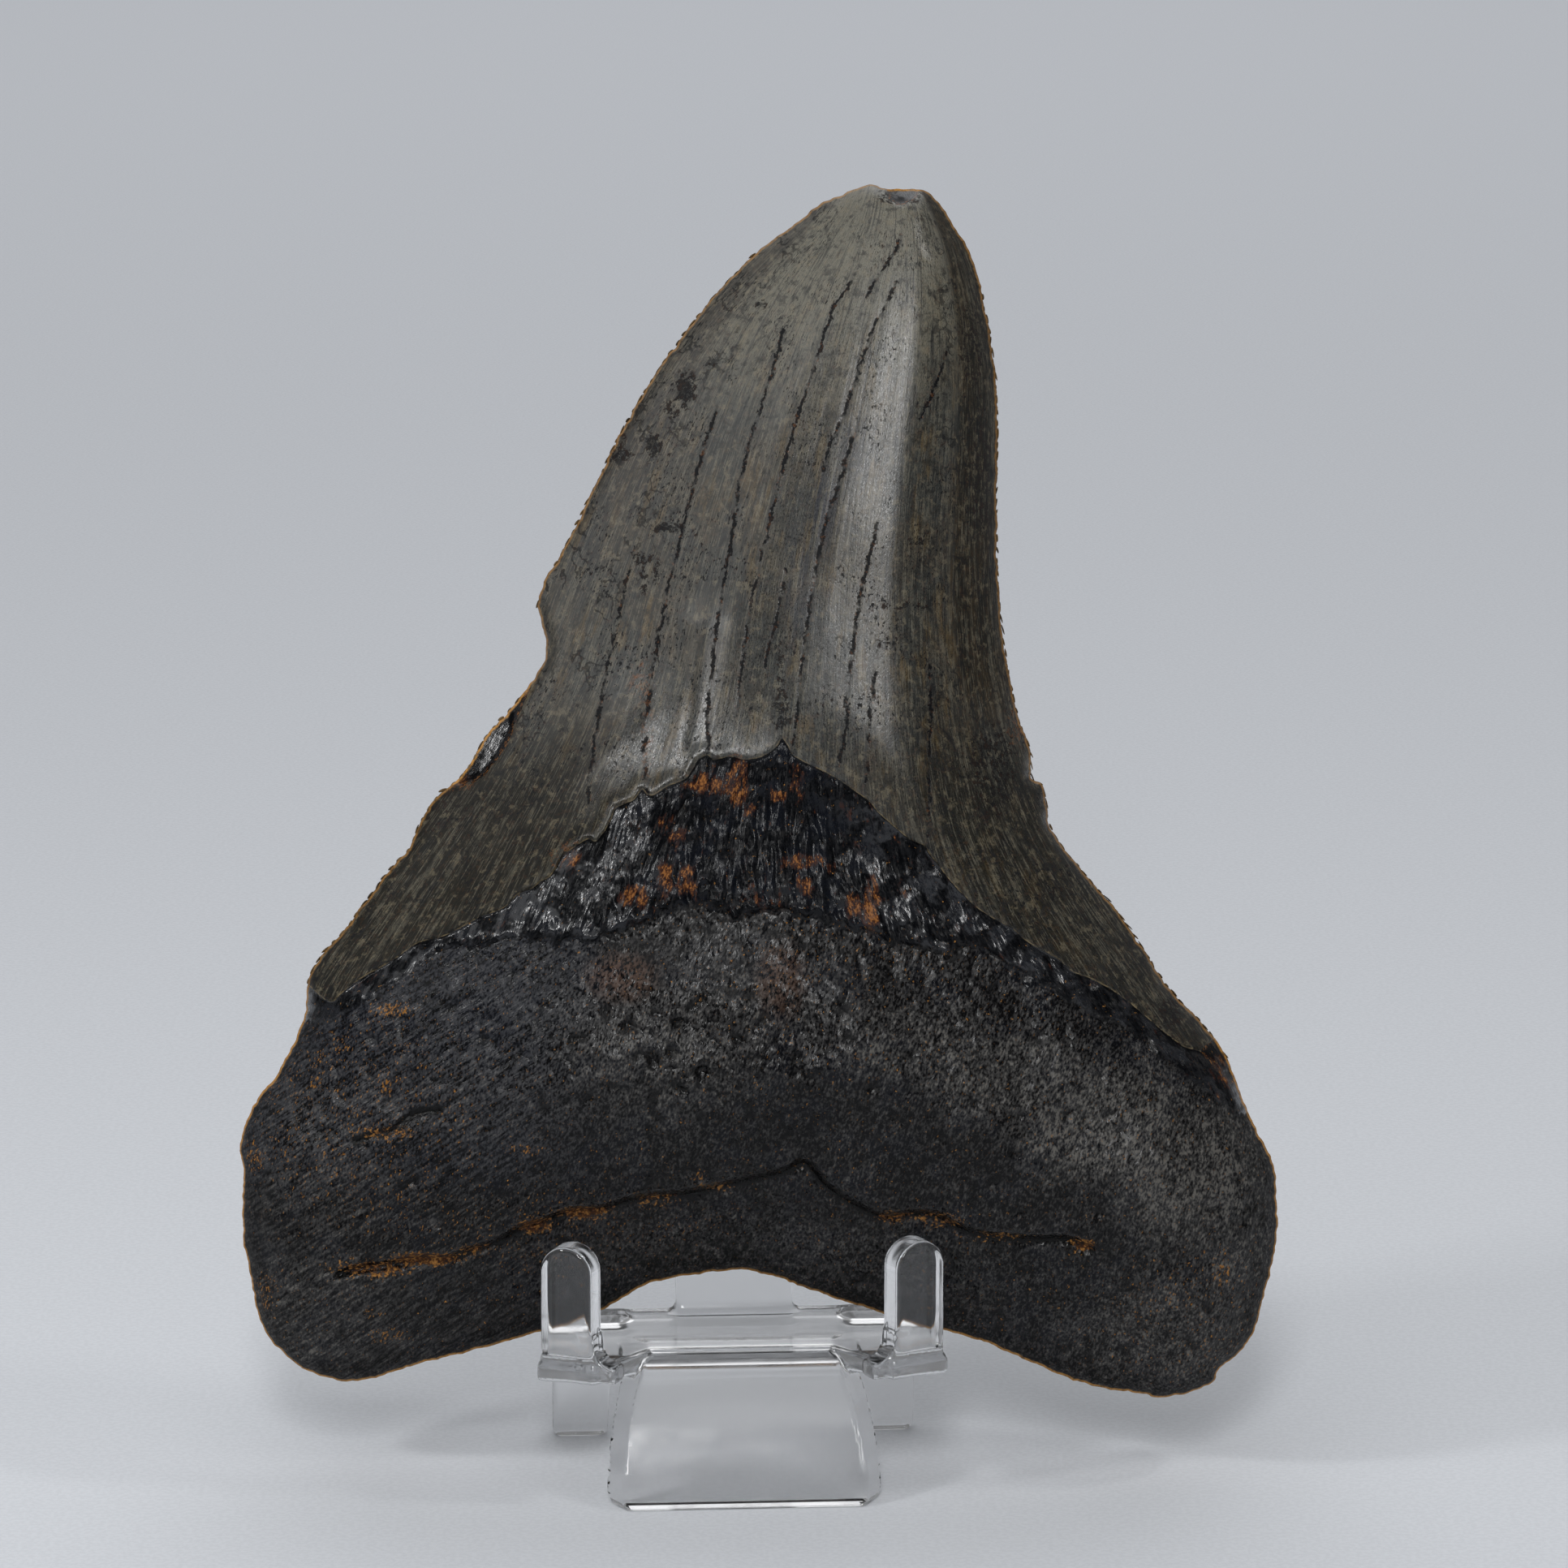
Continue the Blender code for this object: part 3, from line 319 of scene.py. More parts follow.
BACK_RAGGED = 0.5
BACK_RAGGED_SIZE = 1.6
FOLD_DROP = 1.7
FOLD_DEPTH = 1.1
FOLD_WIDTH = 0.42
FOLD_EASE = 0.7
FOLD_HALF_LENGTH = 25.0
FOLD_FADE = 9.0
CRACK_DEPTH = 0.5
CRACK_WIDTH = 0.25
CRACK_GROOVE = 0.02
CRACK_GROOVE_WIDTH = 0.12
TORUS_ABOVE = 13.0
TORUS_BELOW = 9.5
# Across the root: place, height of the lobe, extra height of the torus
ROOT_HEIGHTS = [
    (-52.0, 6.5, 0.8), (-42.0, 7.6, 1.4), (-28.0, 8.8, 2.9), (-12.0, 9.6, 4.9), (0.0, 9.9, 5.6),
    (12.0, 9.6, 5.0), (28.0, 8.9, 3.1), (42.0, 7.8, 1.6), (52.0, 6.7, 1.0),
]
SPOTS = [
    (-33.0, 29.6, 2.6, -0.7), (-15.0, 33.5, 3.0, 0.6), (-6.0, 36.0, 2.6, -0.7), (-1.0, 39.5, 2.6, 0.6),
    (4.0, 35.5, 2.8, -0.8), (-9.5, 39.5, 2.6, 0.5), (10.5, 36.0, 3.2, 0.6), (30.0, 27.5, 3.0, -0.7),
    (39.0, 21.0, 4.0, 0.6), (41.5, 9.0, 4.0, 0.5), (33.0, 6.0, 3.4, -0.5), (-43.0, 14.0, 3.6, -0.6),
    (-37.0, 7.5, 4.0, 0.5), (-44.0, 30.0, 3.0, -0.5), (4.4, 25.0, 3.0, -0.9),
]
SWELLING = [(-5.2, 74.0), (-6.0, 68.0), (-7.0, 62.0), (-8.2, 57.0)]  # low ridge of the enamel
SWELLING_HEIGHT = 0.65
SWELLING_WIDTH = 2.1
# Broken spots: outline and depth
EDGE_CHIP = [(-20.9, 70.6), (-22.6, 66.4), (-24.4, 62.2), (-26.6, 59.6), (-28.9, 58.8), (-30.0, 59.6),
             (-26.6, 64.6), (-23.5, 68.0)]
TIP_CHIP = [(12.2, 117.0), (15.7, 117.0), (15.2, 115.2), (13.6, 114.4), (12.6, 114.9)]
END_CHIP = [(42.2, 33.6), (44.6, 35.2), (46.4, 30.8), (45.2, 30.3), (43.3, 32.4)]
CHIPS = [(EDGE_CHIP, 0.9), (TIP_CHIP, 1.1), (END_CHIP, 0.5)]
CHIP_SLOPE = (-0.1, 0.5)


def across_crown(points):
    """Share of the way from the left edge to the right edge, and half the width."""
    levels, places = np.array(MARGINS)[::-1, 0], np.array(MARGINS)[::-1, 1:]
    left, right = (curve_through(np.stack([levels, places[:, side]], axis=1), 0.5) for side in (0, 1))
    left = np.interp(points[:, 1], left[:, 0], left[:, 1])
    right = np.interp(points[:, 1], right[:, 0], right[:, 1])
    return np.clip((points[:, 0] - left) / (right - left), 0, 1), (right - left) / 2


def tip_rounding(points):
    return rounded(distance_to(points, [LEFT_EDGE[-1:] + TIP + RIGHT_EDGE[:1]]), TIP_ROUNDING)


def inside_by(points, polygon):
    """Distance inside a closed polygon, negative outside it."""
    away = distance_to(points, [polygon + polygon[:1]])
    return np.where(inside(points, np.array(polygon)), away, -away)


def closed_at_rim(height, away, slope):
    """Bring a face's height to nothing at the rim, with at least this slope over the last stretch."""
    return np.maximum(height * rounded(away, RIM_BLEND), slope * np.minimum(away, RIM_BLEND))


def rounded_fall(share, rounding):
    """How far a side of the ridge has fallen, 0 at its rounded crest and 1 at the margin."""
    share = np.clip(share, 0, 1)
    fallen = (share ** 2 + rounding ** 2) ** (CROWN_CURVE / 2) - rounding ** CROWN_CURVE
    return fallen / ((1 + rounding ** 2) ** (CROWN_CURVE / 2) - rounding ** CROWN_CURVE)


def large_forms(points, away):
    """The crown's ridge, the root's torus and lobes, and the drop below the fold."""
    share, half_width = across_crown(points)
    left_part = rounded_fall((CREST - share) / CREST, CREST_ROUNDING[0])
    right_part = rounded_fall((share - CREST) / (1 - CREST), CREST_ROUNDING[1])
    crown = CROWN_RISE * np.tanh(half_width / CROWN_RISE_WIDTH) * (1 - left_part - right_part)
    crown = crown * tip_rounding(points) + CROWN_WAVE * grain(points, CROWN_WAVE_SIZE, seed=3.0)

    lobe_curve = curve_through([(place, lobe) for place, lobe, _ in ROOT_HEIGHTS], 1.0)
    bulge_curve = curve_through([(place, bulge) for place, _, bulge in ROOT_HEIGHTS], 1.0)
    from_crest = level_above(points, TORUS_CREST)
    reach = np.where(from_crest > 0, TORUS_ABOVE, TORUS_BELOW)
    root = np.interp(points[:, 0], *lobe_curve.T)
    root = root + np.interp(points[:, 0], *bulge_curve.T) * bell(from_crest, reach)
    fold_fades = bell(np.maximum(np.abs(points[:, 0]) - FOLD_HALF_LENGTH, 0), FOLD_FADE)
    root = root - FOLD_DROP * fold_fades * smooth_rise(-FOLD_EASE, FOLD_EASE, -level_above(points, FOLD))
    root = root + ROOT_WAVE * grain(points, ROOT_WAVE_SIZE, seed=7.0)
    basal = 1 - BASAL_BEVEL * (1 - smooth_rise(0, BASAL_REACH, distance_to(points, [ARCH])))
    root = root * rounded(away, ROOT_ROUNDING) * basal
    return root + (crown - root) * smooth_rise(*CROWN_BLEND, level_above(points, CROWN_BASE))


def outer_face(points, away):
    """The nearly flat outer face, on the other side of the outline's plane."""
    share, half_width = across_crown(points)
    crown = 1 - np.abs(2 * share - 1) ** CROWN_BACK_CURVE
    crown = CROWN_BACK * crown * np.tanh(half_width / CROWN_BACK_WIDTH)
    root = ROOT_BACK * rounded(away, ROOT_BACK_ROUNDING)
    root = root * (1 + BACK_WAVE * grain(points, ROOT_WAVE_SIZE, seed=11.0))
    root = root + BACK_GRAIN * grain(points, BACK_GRAIN_SIZE, seed=12.0)
    reach_across, reach_up = BACK_HOLLOW_REACH
    hollow = bell(points[:, 0], reach_across) * bell(points[:, 1] - BACK_HOLLOW_LEVEL, reach_up)
    root = root - BACK_HOLLOW * hollow
    above = level_above(points, BACK_ENAMEL_LINE)
    height = root + (crown * tip_rounding(points) - root) * smooth_rise(*BACK_BLEND, above)
    enamel = signed_distance(points, BACK_ENAMEL_LINE)
    enamel = enamel + BACK_RAGGED * grain(points, BACK_RAGGED_SIZE, seed=13.0)
    height = height + BACK_STEP_HEIGHT * smooth_rise(-STEP_REACH, STEP_REACH, enamel)
    return closed_at_rim(height, away, BACK_RIM_SLOPE), enamel


# %% [markdown]
# ## Small relief: ribs, pits, fibres and cracks
# The dark band is thin weathered tissue over the root, worn into upright ribs that fan out like the
# crown's own growth lines and end in a ragged foot. The root is bone-like: fine grains everywhere, coarse
# pits in the middle and slanting fibres on the left lobe. Painted bumps alone look flat from the side, so
# everything wider than about half a millimetre is real relief in the mesh, and only the finest grain is
# left to the materials.

# %% Small relief of the inner face
RIB_PITCH = 0.85
RIB_LENGTH = 4.2
RIB_HEIGHT = 0.34
KNOB_STRETCH = 1.6
BAND_RAGGED = 0.8
BAND_STEP_REACH = (-0.35, 0.45)
LIP_MIDDLE = 0.5
LIP_WIDTH = 0.6
LIP_FADE = (2.0, -6.0)  # the enamel's lip is swollen only on the left
FIBRE_SLANT = radians(33.0)  # fibres of the left lobe rise to the right
FIBRE_WIDTH = 1.1
FIBRE_STRETCH = 4.5
FIBRE_HEIGHT = 0.15
FIBRE_FADE = (-14.0, -24.0)
PIT_SIZE = 1.5
PIT_DEPTH = 0.45
PIT_THRESHOLD = 0.12
GRAIN_SIZE = 0.75
GRAIN_HEIGHT = 0.14
COARSE_PLACE = (-7.0, 34.0)  # the coarsest part of the root, wider than it is high
COARSE_STRETCH = 1.9
COARSE_REACH = 6.0
COARSE_PIT_DEPTH = 0.9
ENAMEL_WAVE = 0.05
ENAMEL_WAVE_SIZE = 2.2
ENAMEL_WAVE_STRETCH = 9.0
GRAIN_SLANT = radians(18.0)  # grains of the root stand almost upright and lean to the right
SCUFF_SLANT = radians(-38.0)
FLOW_WIDTH = 62.0  # width of the crown where the band crosses it


def flow_places(points):
    """Places that follow the crown's growth lines: across along the first axis, level along the second."""
    share, _ = across_crown(points)
    return np.stack([share * FLOW_WIDTH, points[:, 1]], axis=1)


def slanted(points, angle):
    """Places turned so that the second axis runs along fibres that rise at an angle."""
    across = -points[:, 0] * sin(angle) + points[:, 1] * cos(angle)
    along = points[:, 0] * cos(angle) + points[:, 1] * sin(angle)
    return np.stack([across, along], axis=1)


def ridged(values):
    """Sharp crests and broad valleys from smooth unevenness."""
    return 1 - 2 * np.abs(values)


def inner_face(points, away):
    """Height of the inner face, and the distances that its materials use."""
    flow = flow_places(points)
    enamel = signed_distance(points, ENAMEL_EDGE)
    band = signed_distance(points, BAND_FOOT)
    band = band + BAND_RAGGED * grain(flow, BAND_RAGGED, seed=21.0, stretch=2.5)
    crack = distance_to(points, CRACK_PATHS, 0.03)
    fold = distance_to(points, [FOLD])
    upper = distance_to(points, [UPPER_CRACK])
    height = large_forms(points, away)
    height = height + ENAMEL_STEP * smooth_rise(-STEP_REACH, STEP_REACH, enamel)
    lip = LIP_SWELLING * smooth_rise(*LIP_FADE, points[:, 0])
    height = height + lip * bell(enamel - LIP_MIDDLE, LIP_WIDTH)
    height = height + BAND_STEP * smooth_rise(*BAND_STEP_REACH, band)

    in_band = smooth_rise(-0.1, 0.4, -enamel) * smooth_rise(-0.6, 0.5, band)
    near_foot = bell(band - 1.2, 1.6)
    ribs = ridged(grain(flow, RIB_PITCH, seed=22.0, stretch=RIB_LENGTH / RIB_PITCH))
    knobs = ridged(grain(flow, RIB_PITCH, seed=23.0, stretch=KNOB_STRETCH))
    fans = 0.5 + 0.5 * smooth_rise(30.0, 4.0, np.abs(points[:, 0]))
    ribbing = in_band * fans * (ribs + (0.3 + 0.7 * near_foot) * knobs)
    height = height + RIB_HEIGHT * ribbing

    on_root = 1 - smooth_rise(-0.4, 0.0, band)
    from_coarse = points - COARSE_PLACE
    coarse = bell(np.hypot(from_coarse[:, 0] / COARSE_STRETCH, from_coarse[:, 1]), COARSE_REACH)
    fibres = ridged(grain(slanted(points, FIBRE_SLANT), FIBRE_WIDTH, seed=24.0, stretch=FIBRE_STRETCH))
    pits = np.minimum(grain(points, PIT_SIZE, seed=25.0) + PIT_THRESHOLD, 0)
    relief = FIBRE_HEIGHT * smooth_rise(*FIBRE_FADE, points[:, 0]) * fibres
    relief = relief + (PIT_DEPTH + COARSE_PIT_DEPTH * coarse) * pits
    relief = relief + GRAIN_HEIGHT * (1 + coarse) * grain(points, GRAIN_SIZE, seed=26.0)
    relief = on_root * relief
    height = height + relief

    height = height - FOLD_DEPTH * bell(fold, FOLD_WIDTH) - CRACK_DEPTH * bell(upper, CRACK_WIDTH)
    height = height - CRACK_GROOVE * bell(crack, CRACK_GROOVE_WIDTH)
    wave = grain(flow, ENAMEL_WAVE_SIZE, seed=27.0, stretch=ENAMEL_WAVE_STRETCH)
    height = height + (enamel > 0) * ENAMEL_WAVE * wave
    height = height + SWELLING_HEIGHT * bell(distance_to(points, [SWELLING]), SWELLING_WIDTH)
    broken = np.full(len(points), -9.0)
    for polygon, depth in CHIPS:
        within = inside_by(points, polygon)
        height = height - depth * smooth_rise(*CHIP_SLOPE, within)
        broken = np.maximum(broken, within)
    for x, y, radius, rise in SPOTS:
        height = height + rise * bell(np.hypot(points[:, 0] - x, points[:, 1] - y), radius)
    distances = {"enamel": enamel, "band": band, "crack": crack, "fold": fold, "upper": upper,
                 "broken": broken, "coarse": coarse, "ribbing": ribbing, "relief": relief}
    return closed_at_rim(height, away, FRONT_RIM_SLOPE), distances


# %% [markdown]
# ## Triangles where they are needed
# A square grid would waste triangles on smooth enamel and still cut across the cracks. The outline, the
# enamel's edge and every crack first get rows of points of their own, then an even honeycomb fills what
# is left, finer in the ribbed band. A constrained Delaunay triangulation joins them all. Both faces share
# the outline's points, so the tooth is one closed skin.

# %% Lay out and triangulate the two faces
RIM_STEP = 0.25
RIM_ROWS = (0.1, 0.3, 0.62, 1.05)
FRONT_STEP = 0.37
BAND_FIELD = 0.22
BACK_STEP = 0.8


def apart(candidates, taken, gap):
    """The candidates that lie at least a gap from every point already taken."""
    tree = search_tree(taken)
    return candidates[np.array([tree.find((x, y, 0))[2] > gap for x, y in candidates])]


def ring(rim, depth):
    """The outline moved inwards."""
    ahead = np.roll(rim, -1, axis=0) - np.roll(rim, 1, axis=0)
    inward = np.stack([ahead[:, 1], -ahead[:, 0]], axis=1) / np.linalg.norm(ahead, axis=1)[:, None]
    moved = rim + depth * inward
    return moved[inside(moved, rim) & (rim_distance(moved) > 0.85 * depth)]


def rows_beside(line, spacing, offsets):
    path = curve_through(line, spacing)
    ahead = np.gradient(path, axis=0)
    normal = np.stack([-ahead[:, 1], ahead[:, 0]], axis=1) / np.linalg.norm(ahead, axis=1)[:, None]
    return np.vstack([path + offset * normal for offset in offsets])


def honeycomb(step):
    low, high = RIM_FINE.min(axis=0), RIM_FINE.max(axis=0)
    row_gap = step * 0.75 ** 0.5
    rows = []
    for row in range(int((high[1] - low[1]) / row_gap) + 1):
        xs = np.arange(low[0] + (row % 2) * step / 2, high[0], step)
        rows.append(np.stack([xs, np.full(len(xs), low[1] + row * row_gap)], axis=1))
    return np.vstack(rows)


def in_ribbed_band(points):
    return (level_above(points, BAND_FOOT) > -1.2) & (level_above(points, ENAMEL_EDGE) < 0.6)


def layout(rim, ring_depths, creases, fields):
    """Rings inside the outline, rows along the creases, and honeycombs with a test for their zone."""
    points = [ring(rim, depth) for depth in ring_depths]
    taken = np.vstack([rim] + points)
    for line, spacing, offsets in creases:
        rows = rows_beside(line, spacing, offsets)
        rows = rows[inside(rows, rim)]
        rows = rows[rim_distance(rows) > ring_depths[-1] + 0.1]
        rows = apart(rows, taken, 0.5 * spacing)
        points.append(rows)
        taken = np.vstack([taken, rows])
    for step, zone in fields:
        field = honeycomb(step)
        field = field[zone(field)]
        field = field[inside(field, rim)]
        field = field[rim_distance(field) > ring_depths[-1] + 0.45 * step]
        points.append(apart(field, taken, 0.6 * step))
    return np.vstack(points)


def triangles(rim, points):
    """Triangulate the outline with its inner points; the corners' numbers start with the rim's."""
    everything = np.vstack([rim, points])
    rim_edges = [(place, (place + 1) % len(rim)) for place in range(len(rim))]
    result = delaunay_2d_cdt([Vector(p) for p in everything], rim_edges, [], 0, 1e-6, True)
    places, faces, sources = np.array(result[0]), np.array(result[2]), result[3]
    number = np.empty(len(places), int)
    inner = []
    for new, old in enumerate(sources):
        if old and old[0] < len(rim):
            number[new] = old[0]
        else:
            number[new] = len(rim) + len(inner)
            inner.append(new)
    kept = faces[inside(places[faces].mean(axis=1), rim)]
    return places[inner], number[kept]


rim = chipped_outline(RIM_STEP)
front_creases = [(ENAMEL_EDGE, 0.2, (0.0, 0.15, -0.15)), (FOLD, 0.3, (0.0, 0.35, -0.35)),
                 (UPPER_CRACK, 0.25, (0.0, 0.3, -0.3))]
front_creases += [(path, 0.2, (0.0, 0.12, -0.12)) for path in CRACK_PATHS]
front_points, front_faces = triangles(rim, layout(
    rim, RIM_ROWS, front_creases,
    [(BAND_FIELD, in_ribbed_band), (FRONT_STEP, lambda points: ~in_ribbed_band(points))]
))
back_points, back_faces = triangles(rim, layout(
    rim, RIM_ROWS[1::2], [(BACK_ENAMEL_LINE, 0.4, (0.2, -0.2))],
    [(BACK_STEP, lambda points: np.ones(len(points), bool))]
))
print("triangles in front:", len(front_faces), "at the back:", len(back_faces))

# %% [markdown]
# ## Where the stains and marks lie
# Fossil colour comes from the minerals of the ground the tooth lay in, so it has a place: rust in the
# ribbed band and the fold, pale grains along the right lobe, brown margins on the crown, dark scribbles
# left by small organisms. Each such place is written as a small soft ellipse in millimetres and stored on
# the mesh as an attribute. The materials later break these soft shapes up with noise, so that no edge of
# a stain is smooth.

# %% Soft ellipses: across, up, half width, half height, strength
RUST = [
    (-4.8, 59.2, 1.9, 1.0, 1.0), (-1.9, 59.4, 1.1, 2.2, 1.0), (3.6, 59.4, 0.8, 1.6, 0.8),
    (1.8, 58.0, 0.8, 0.5, 1.0), (-8.4, 54.9, 1.5, 1.8, 0.55), (-11.6, 48.5, 1.4, 1.2, 0.9),
    (-8.7, 50.2, 0.7, 1.9, 0.9), (-6.6, 50.2, 1.0, 1.5, 0.9), (4.0, 51.8, 2.2, 0.7, 0.8),
    (4.4, 49.6, 0.9, 0.9, 1.0), (7.0, 51.2, 0.7, 0.6, 0.8), (9.1, 47.9, 0.8, 1.3, 0.9),
    (10.8, 47.7, 0.8, 2.1, 1.0), (-0.8, 56.8, 0.5, 0.7, 0.8), (8.8, 56.3, 0.5, 0.8, 0.8),
    (-12.8, 41.0, 2.8, 1.9, 0.5), (2.2, 40.7, 2.0, 3.0, 0.42), (1.0, 48.5, 1.8, 1.2, 0.4),
    (24.9, 64.9, 0.9, 2.0, 0.6), (-11.2, 69.0, 0.9, 1.8, 0.45), (-10.5, 64.5, 0.5, 5.0, 0.4),
    (-29.0, 59.6, 1.6, 1.0, 0.7), (45.0, 31.8, 1.5, 2.0, 0.5), (-18.0, 52.3, 1.6, 1.3, 0.6),
]
OCHRE = [
    (-34.5, 37.8, 2.2, 0.7, 1.0), (-39.8, 34.3, 1.4, 0.8, 0.7), (-35.1, 30.5, 0.6, 0.8, 1.0),
    (-35.3, 26.3, 1.6, 0.5, 0.9), (-42.2, 30.5, 0.9, 1.1, 0.7), (-41.7, 33.1, 0.8, 0.8, 0.7),
    (-22.0, 24.6, 1.8, 0.5, 0.8), (-48.2, 23.4, 1.0, 1.6, 0.8), (-47.2, 10.5, 1.2, 1.8, 0.7),
    (-35.3, 6.4, 1.6, 0.7, 0.9), (-36.9, 8.7, 1.0, 0.6, 0.7), (44.2, 13.1, 1.0, 1.8, 0.7),
    (-5.6, 22.1, 0.7, 0.6, 0.8), (-38.0, 27.0, 11.0, 10.0, 0.35), (41.0, 8.0, 8.0, 6.0, 0.25),
    (-20.0, 16.5, 14.0, 4.0, 0.3), (12.0, 44.0, 14.0, 4.0, 0.2),
]
PALE_GRAINS = [
    (15.0, 35.0, 7.0, 3.5, 0.7), (24.0, 31.5, 8.0, 4.0, 0.8), (33.0, 27.0, 8.0, 5.5, 0.95),
    (41.0, 22.0, 7.0, 6.5, 1.0), (46.0, 16.0, 4.0, 5.0, 0.6), (-10.0, 33.5, 9.0, 6.0, 0.6),
    (-2.0, 38.0, 7.0, 4.0, 0.45), (-27.0, 29.0, 12.0, 4.0, 0.4), (-42.0, 24.0, 6.0, 8.0, 0.4),
    (-41.0, 8.0, 8.0, 6.0, 0.45), (40.0, 6.5, 9.0, 5.0, 0.6), (0.0, 15.0, 22.0, 3.0, 0.25),
]
SEDIMENT = [
    (-36.5, 13.1, 3.6, 0.8, 0.8), (-31.5, 14.0, 3.4, 0.7, 1.0), (-27.0, 14.9, 1.6, 0.6, 0.7),
    (-21.3, 17.2, 1.5, 0.8, 1.0), (-16.8, 18.4, 2.2, 0.6, 1.0), (-10.0, 19.6, 2.5, 0.7, 0.45),
    (-4.0, 21.0, 2.0, 0.5, 0.5), (12.8, 18.0, 1.6, 0.7, 0.65), (17.2, 17.8, 2.2, 0.8, 0.6),
    (22.5, 16.2, 3.0, 0.5, 0.5), (30.9, 15.4, 1.2, 0.7, 0.9), (-35.2, 26.2, 3.0, 0.6, 0.6),
]
DARK_MARKS = [
    (-7.0, 96.9, 1.0, 1.6, 1.0), (-8.2, 95.0, 0.7, 0.9, 0.8), (-10.0, 91.6, 0.7, 1.1, 1.0),
    (-13.6, 90.7, 1.5, 0.5, 0.9), (-8.7, 83.6, 1.3, 0.45, 1.0), (-11.0, 80.6, 1.1, 0.5, 0.8),
    (-10.9, 78.5, 0.4, 1.2, 0.7), (-9.6, 79.4, 0.4, 1.0, 0.7), (-4.6, 99.4, 0.6, 0.5, 0.7),
    (0.3, 105.0, 0.45, 0.45, 1.0), (14.3, 76.0, 2.6, 0.3, 0.7), (15.3, 82.1, 1.3, 0.3, 0.7),
    (12.2, 72.5, 0.9, 0.5, 0.6), (13.7, 115.5, 1.8, 0.9, 1.0), (39.5, 37.3, 1.0, 1.4, 0.8),
    (30.9, 28.4, 0.3, 1.3, 0.8), (28.2, 48.7, 1.0, 1.0, 0.6), (-14.5, 93.0, 2.0, 2.6, 0.4),
    (20.5, 101.0, 1.3, 4.0, 0.5), (21.5, 88.0, 1.3, 5.0, 0.5), (22.4, 60.5, 2.0, 4.0, 0.6),
    (-30.5, 57.0, 3.0, 2.0, 0.35), (2.3, 66.0, 0.8, 1.6, 0.9), (2.2, 69.5, 0.35, 2.5, 0.6),
]
BLUE_ZONE = [(6.3, 85.5, 1.2, 3.6, 0.8), (4.0, 78.0, 1.4, 5.0, 0.5), (9.0, 92.0, 1.2, 3.0, 0.5)]
print("stain places:", len(RUST + OCHRE + PALE_GRAINS + SEDIMENT + DARK_MARKS + BLUE_ZONE))


def soft_spots(points, places):
    """0 to 1: the strongest of several soft ellipses at each point."""
    strongest = np.zeros(len(points))
    for x, y, across, up, strength in places:
        away = np.hypot((points[:, 0] - x) / across, (points[:, 1] - y) / up)
        strongest = np.maximum(strongest, strength * (1 - smooth_rise(0.5, 1.6, away)))
    return strongest


# %% [markdown]
# ## The tooth as one closed skin
# Now the heights move the points off the outline's plane, the whole skin leans back, and every distance
# and stain goes on it as a named attribute. A texture painted by hand would need unwrapping and a
# picture file; attributes need neither and stay sharp at any zoom.

# %% Build the tooth
def in_frame(points, heights):
    """Outline places in mm and heights towards the back, as places in the frame, in metres."""
    flat = np.column_stack([points[:, 0], heights + np.zeros(len(points)), points[:, 1]])
    turned = flat @ np.array(Matrix.Rotation(-LEAN, 3, "X")).T
    return (turned + TOOTH_PLACE) * MM


def set_values(mesh, name, values):
    kind = "FLOAT_VECTOR" if values.ndim == 2 else "FLOAT"
    layer = mesh.attributes.new(name, kind, "POINT")
    layer.data.foreach_set("vector" if values.ndim == 2 else "value", values.astype(np.float32).ravel())


def show_object(name, mesh):
    thing = bpy.data.objects.new(name, mesh)
    bpy.context.scene.collection.objects.link(thing)
    return thing


front_heights, marks = inner_face(front_points, rim_distance(front_points))
back_heights, back_enamel = outer_face(back_points, rim_distance(back_points))
flat_places = np.vstack([rim, front_points, back_points])
heights = np.concatenate([np.zeros(len(rim)), -front_heights, back_heights])
first_back = len(rim) + len(front_points)
back_faces = np.where(back_faces < len(rim), back_faces, back_faces + len(front_points))
corners = np.vstack([front_faces, back_faces[:, ::-1]])

tooth_mesh = bpy.data.meshes.new("tooth")
tooth_mesh.from_pydata(in_frame(flat_places, heights), [], corners.tolist())
tooth_mesh.shade_smooth()

_, rim_marks = inner_face(rim, np.zeros(len(rim)))
back_marks = {name: np.full(len(back_points), 9.0) for name in marks}
back_marks["enamel"] = back_enamel
back_marks["band"] = np.full(len(back_points), -9.0)
back_marks["broken"] = np.full(len(back_points), -9.0)
for name in ("coarse", "ribbing", "relief"):
    back_marks[name] = np.zeros(len(back_points))
for name in marks:
    set_values(tooth_mesh, name, np.concatenate([rim_marks[name], marks[name], back_marks[name]]))
share, half_width = across_crown(flat_places)
flow = flow_places(flat_places)
set_values(tooth_mesh, "flow", np.column_stack([flow, heights]))
set_values(tooth_mesh, "plane", np.column_stack([flat_places, heights]))
set_values(tooth_mesh, "share", share)
set_values(tooth_mesh, "level", flat_places[:, 1])
set_values(tooth_mesh, "rim", rim_distance(flat_places))
on_front = np.arange(len(flat_places)) < first_back
for name, places in (("rust", RUST), ("ochre", OCHRE), ("pale", PALE_GRAINS), ("sediment", SEDIMENT),
                     ("dark", DARK_MARKS), ("blue", BLUE_ZONE)):
    set_values(tooth_mesh, name, soft_spots(flat_places, places) * on_front)
tooth = show_object("fossil_tooth", tooth_mesh)

edge_uses = np.zeros(len(tooth_mesh.edges), int)
edge_of_corner = np.empty(len(tooth_mesh.loops), int)
tooth_mesh.loops.foreach_get("edge_index", edge_of_corner)
np.add.at(edge_uses, edge_of_corner, 1)
print("tooth triangles:", len(tooth_mesh.polygons), "edges not shared by two:", (edge_uses != 2).sum())

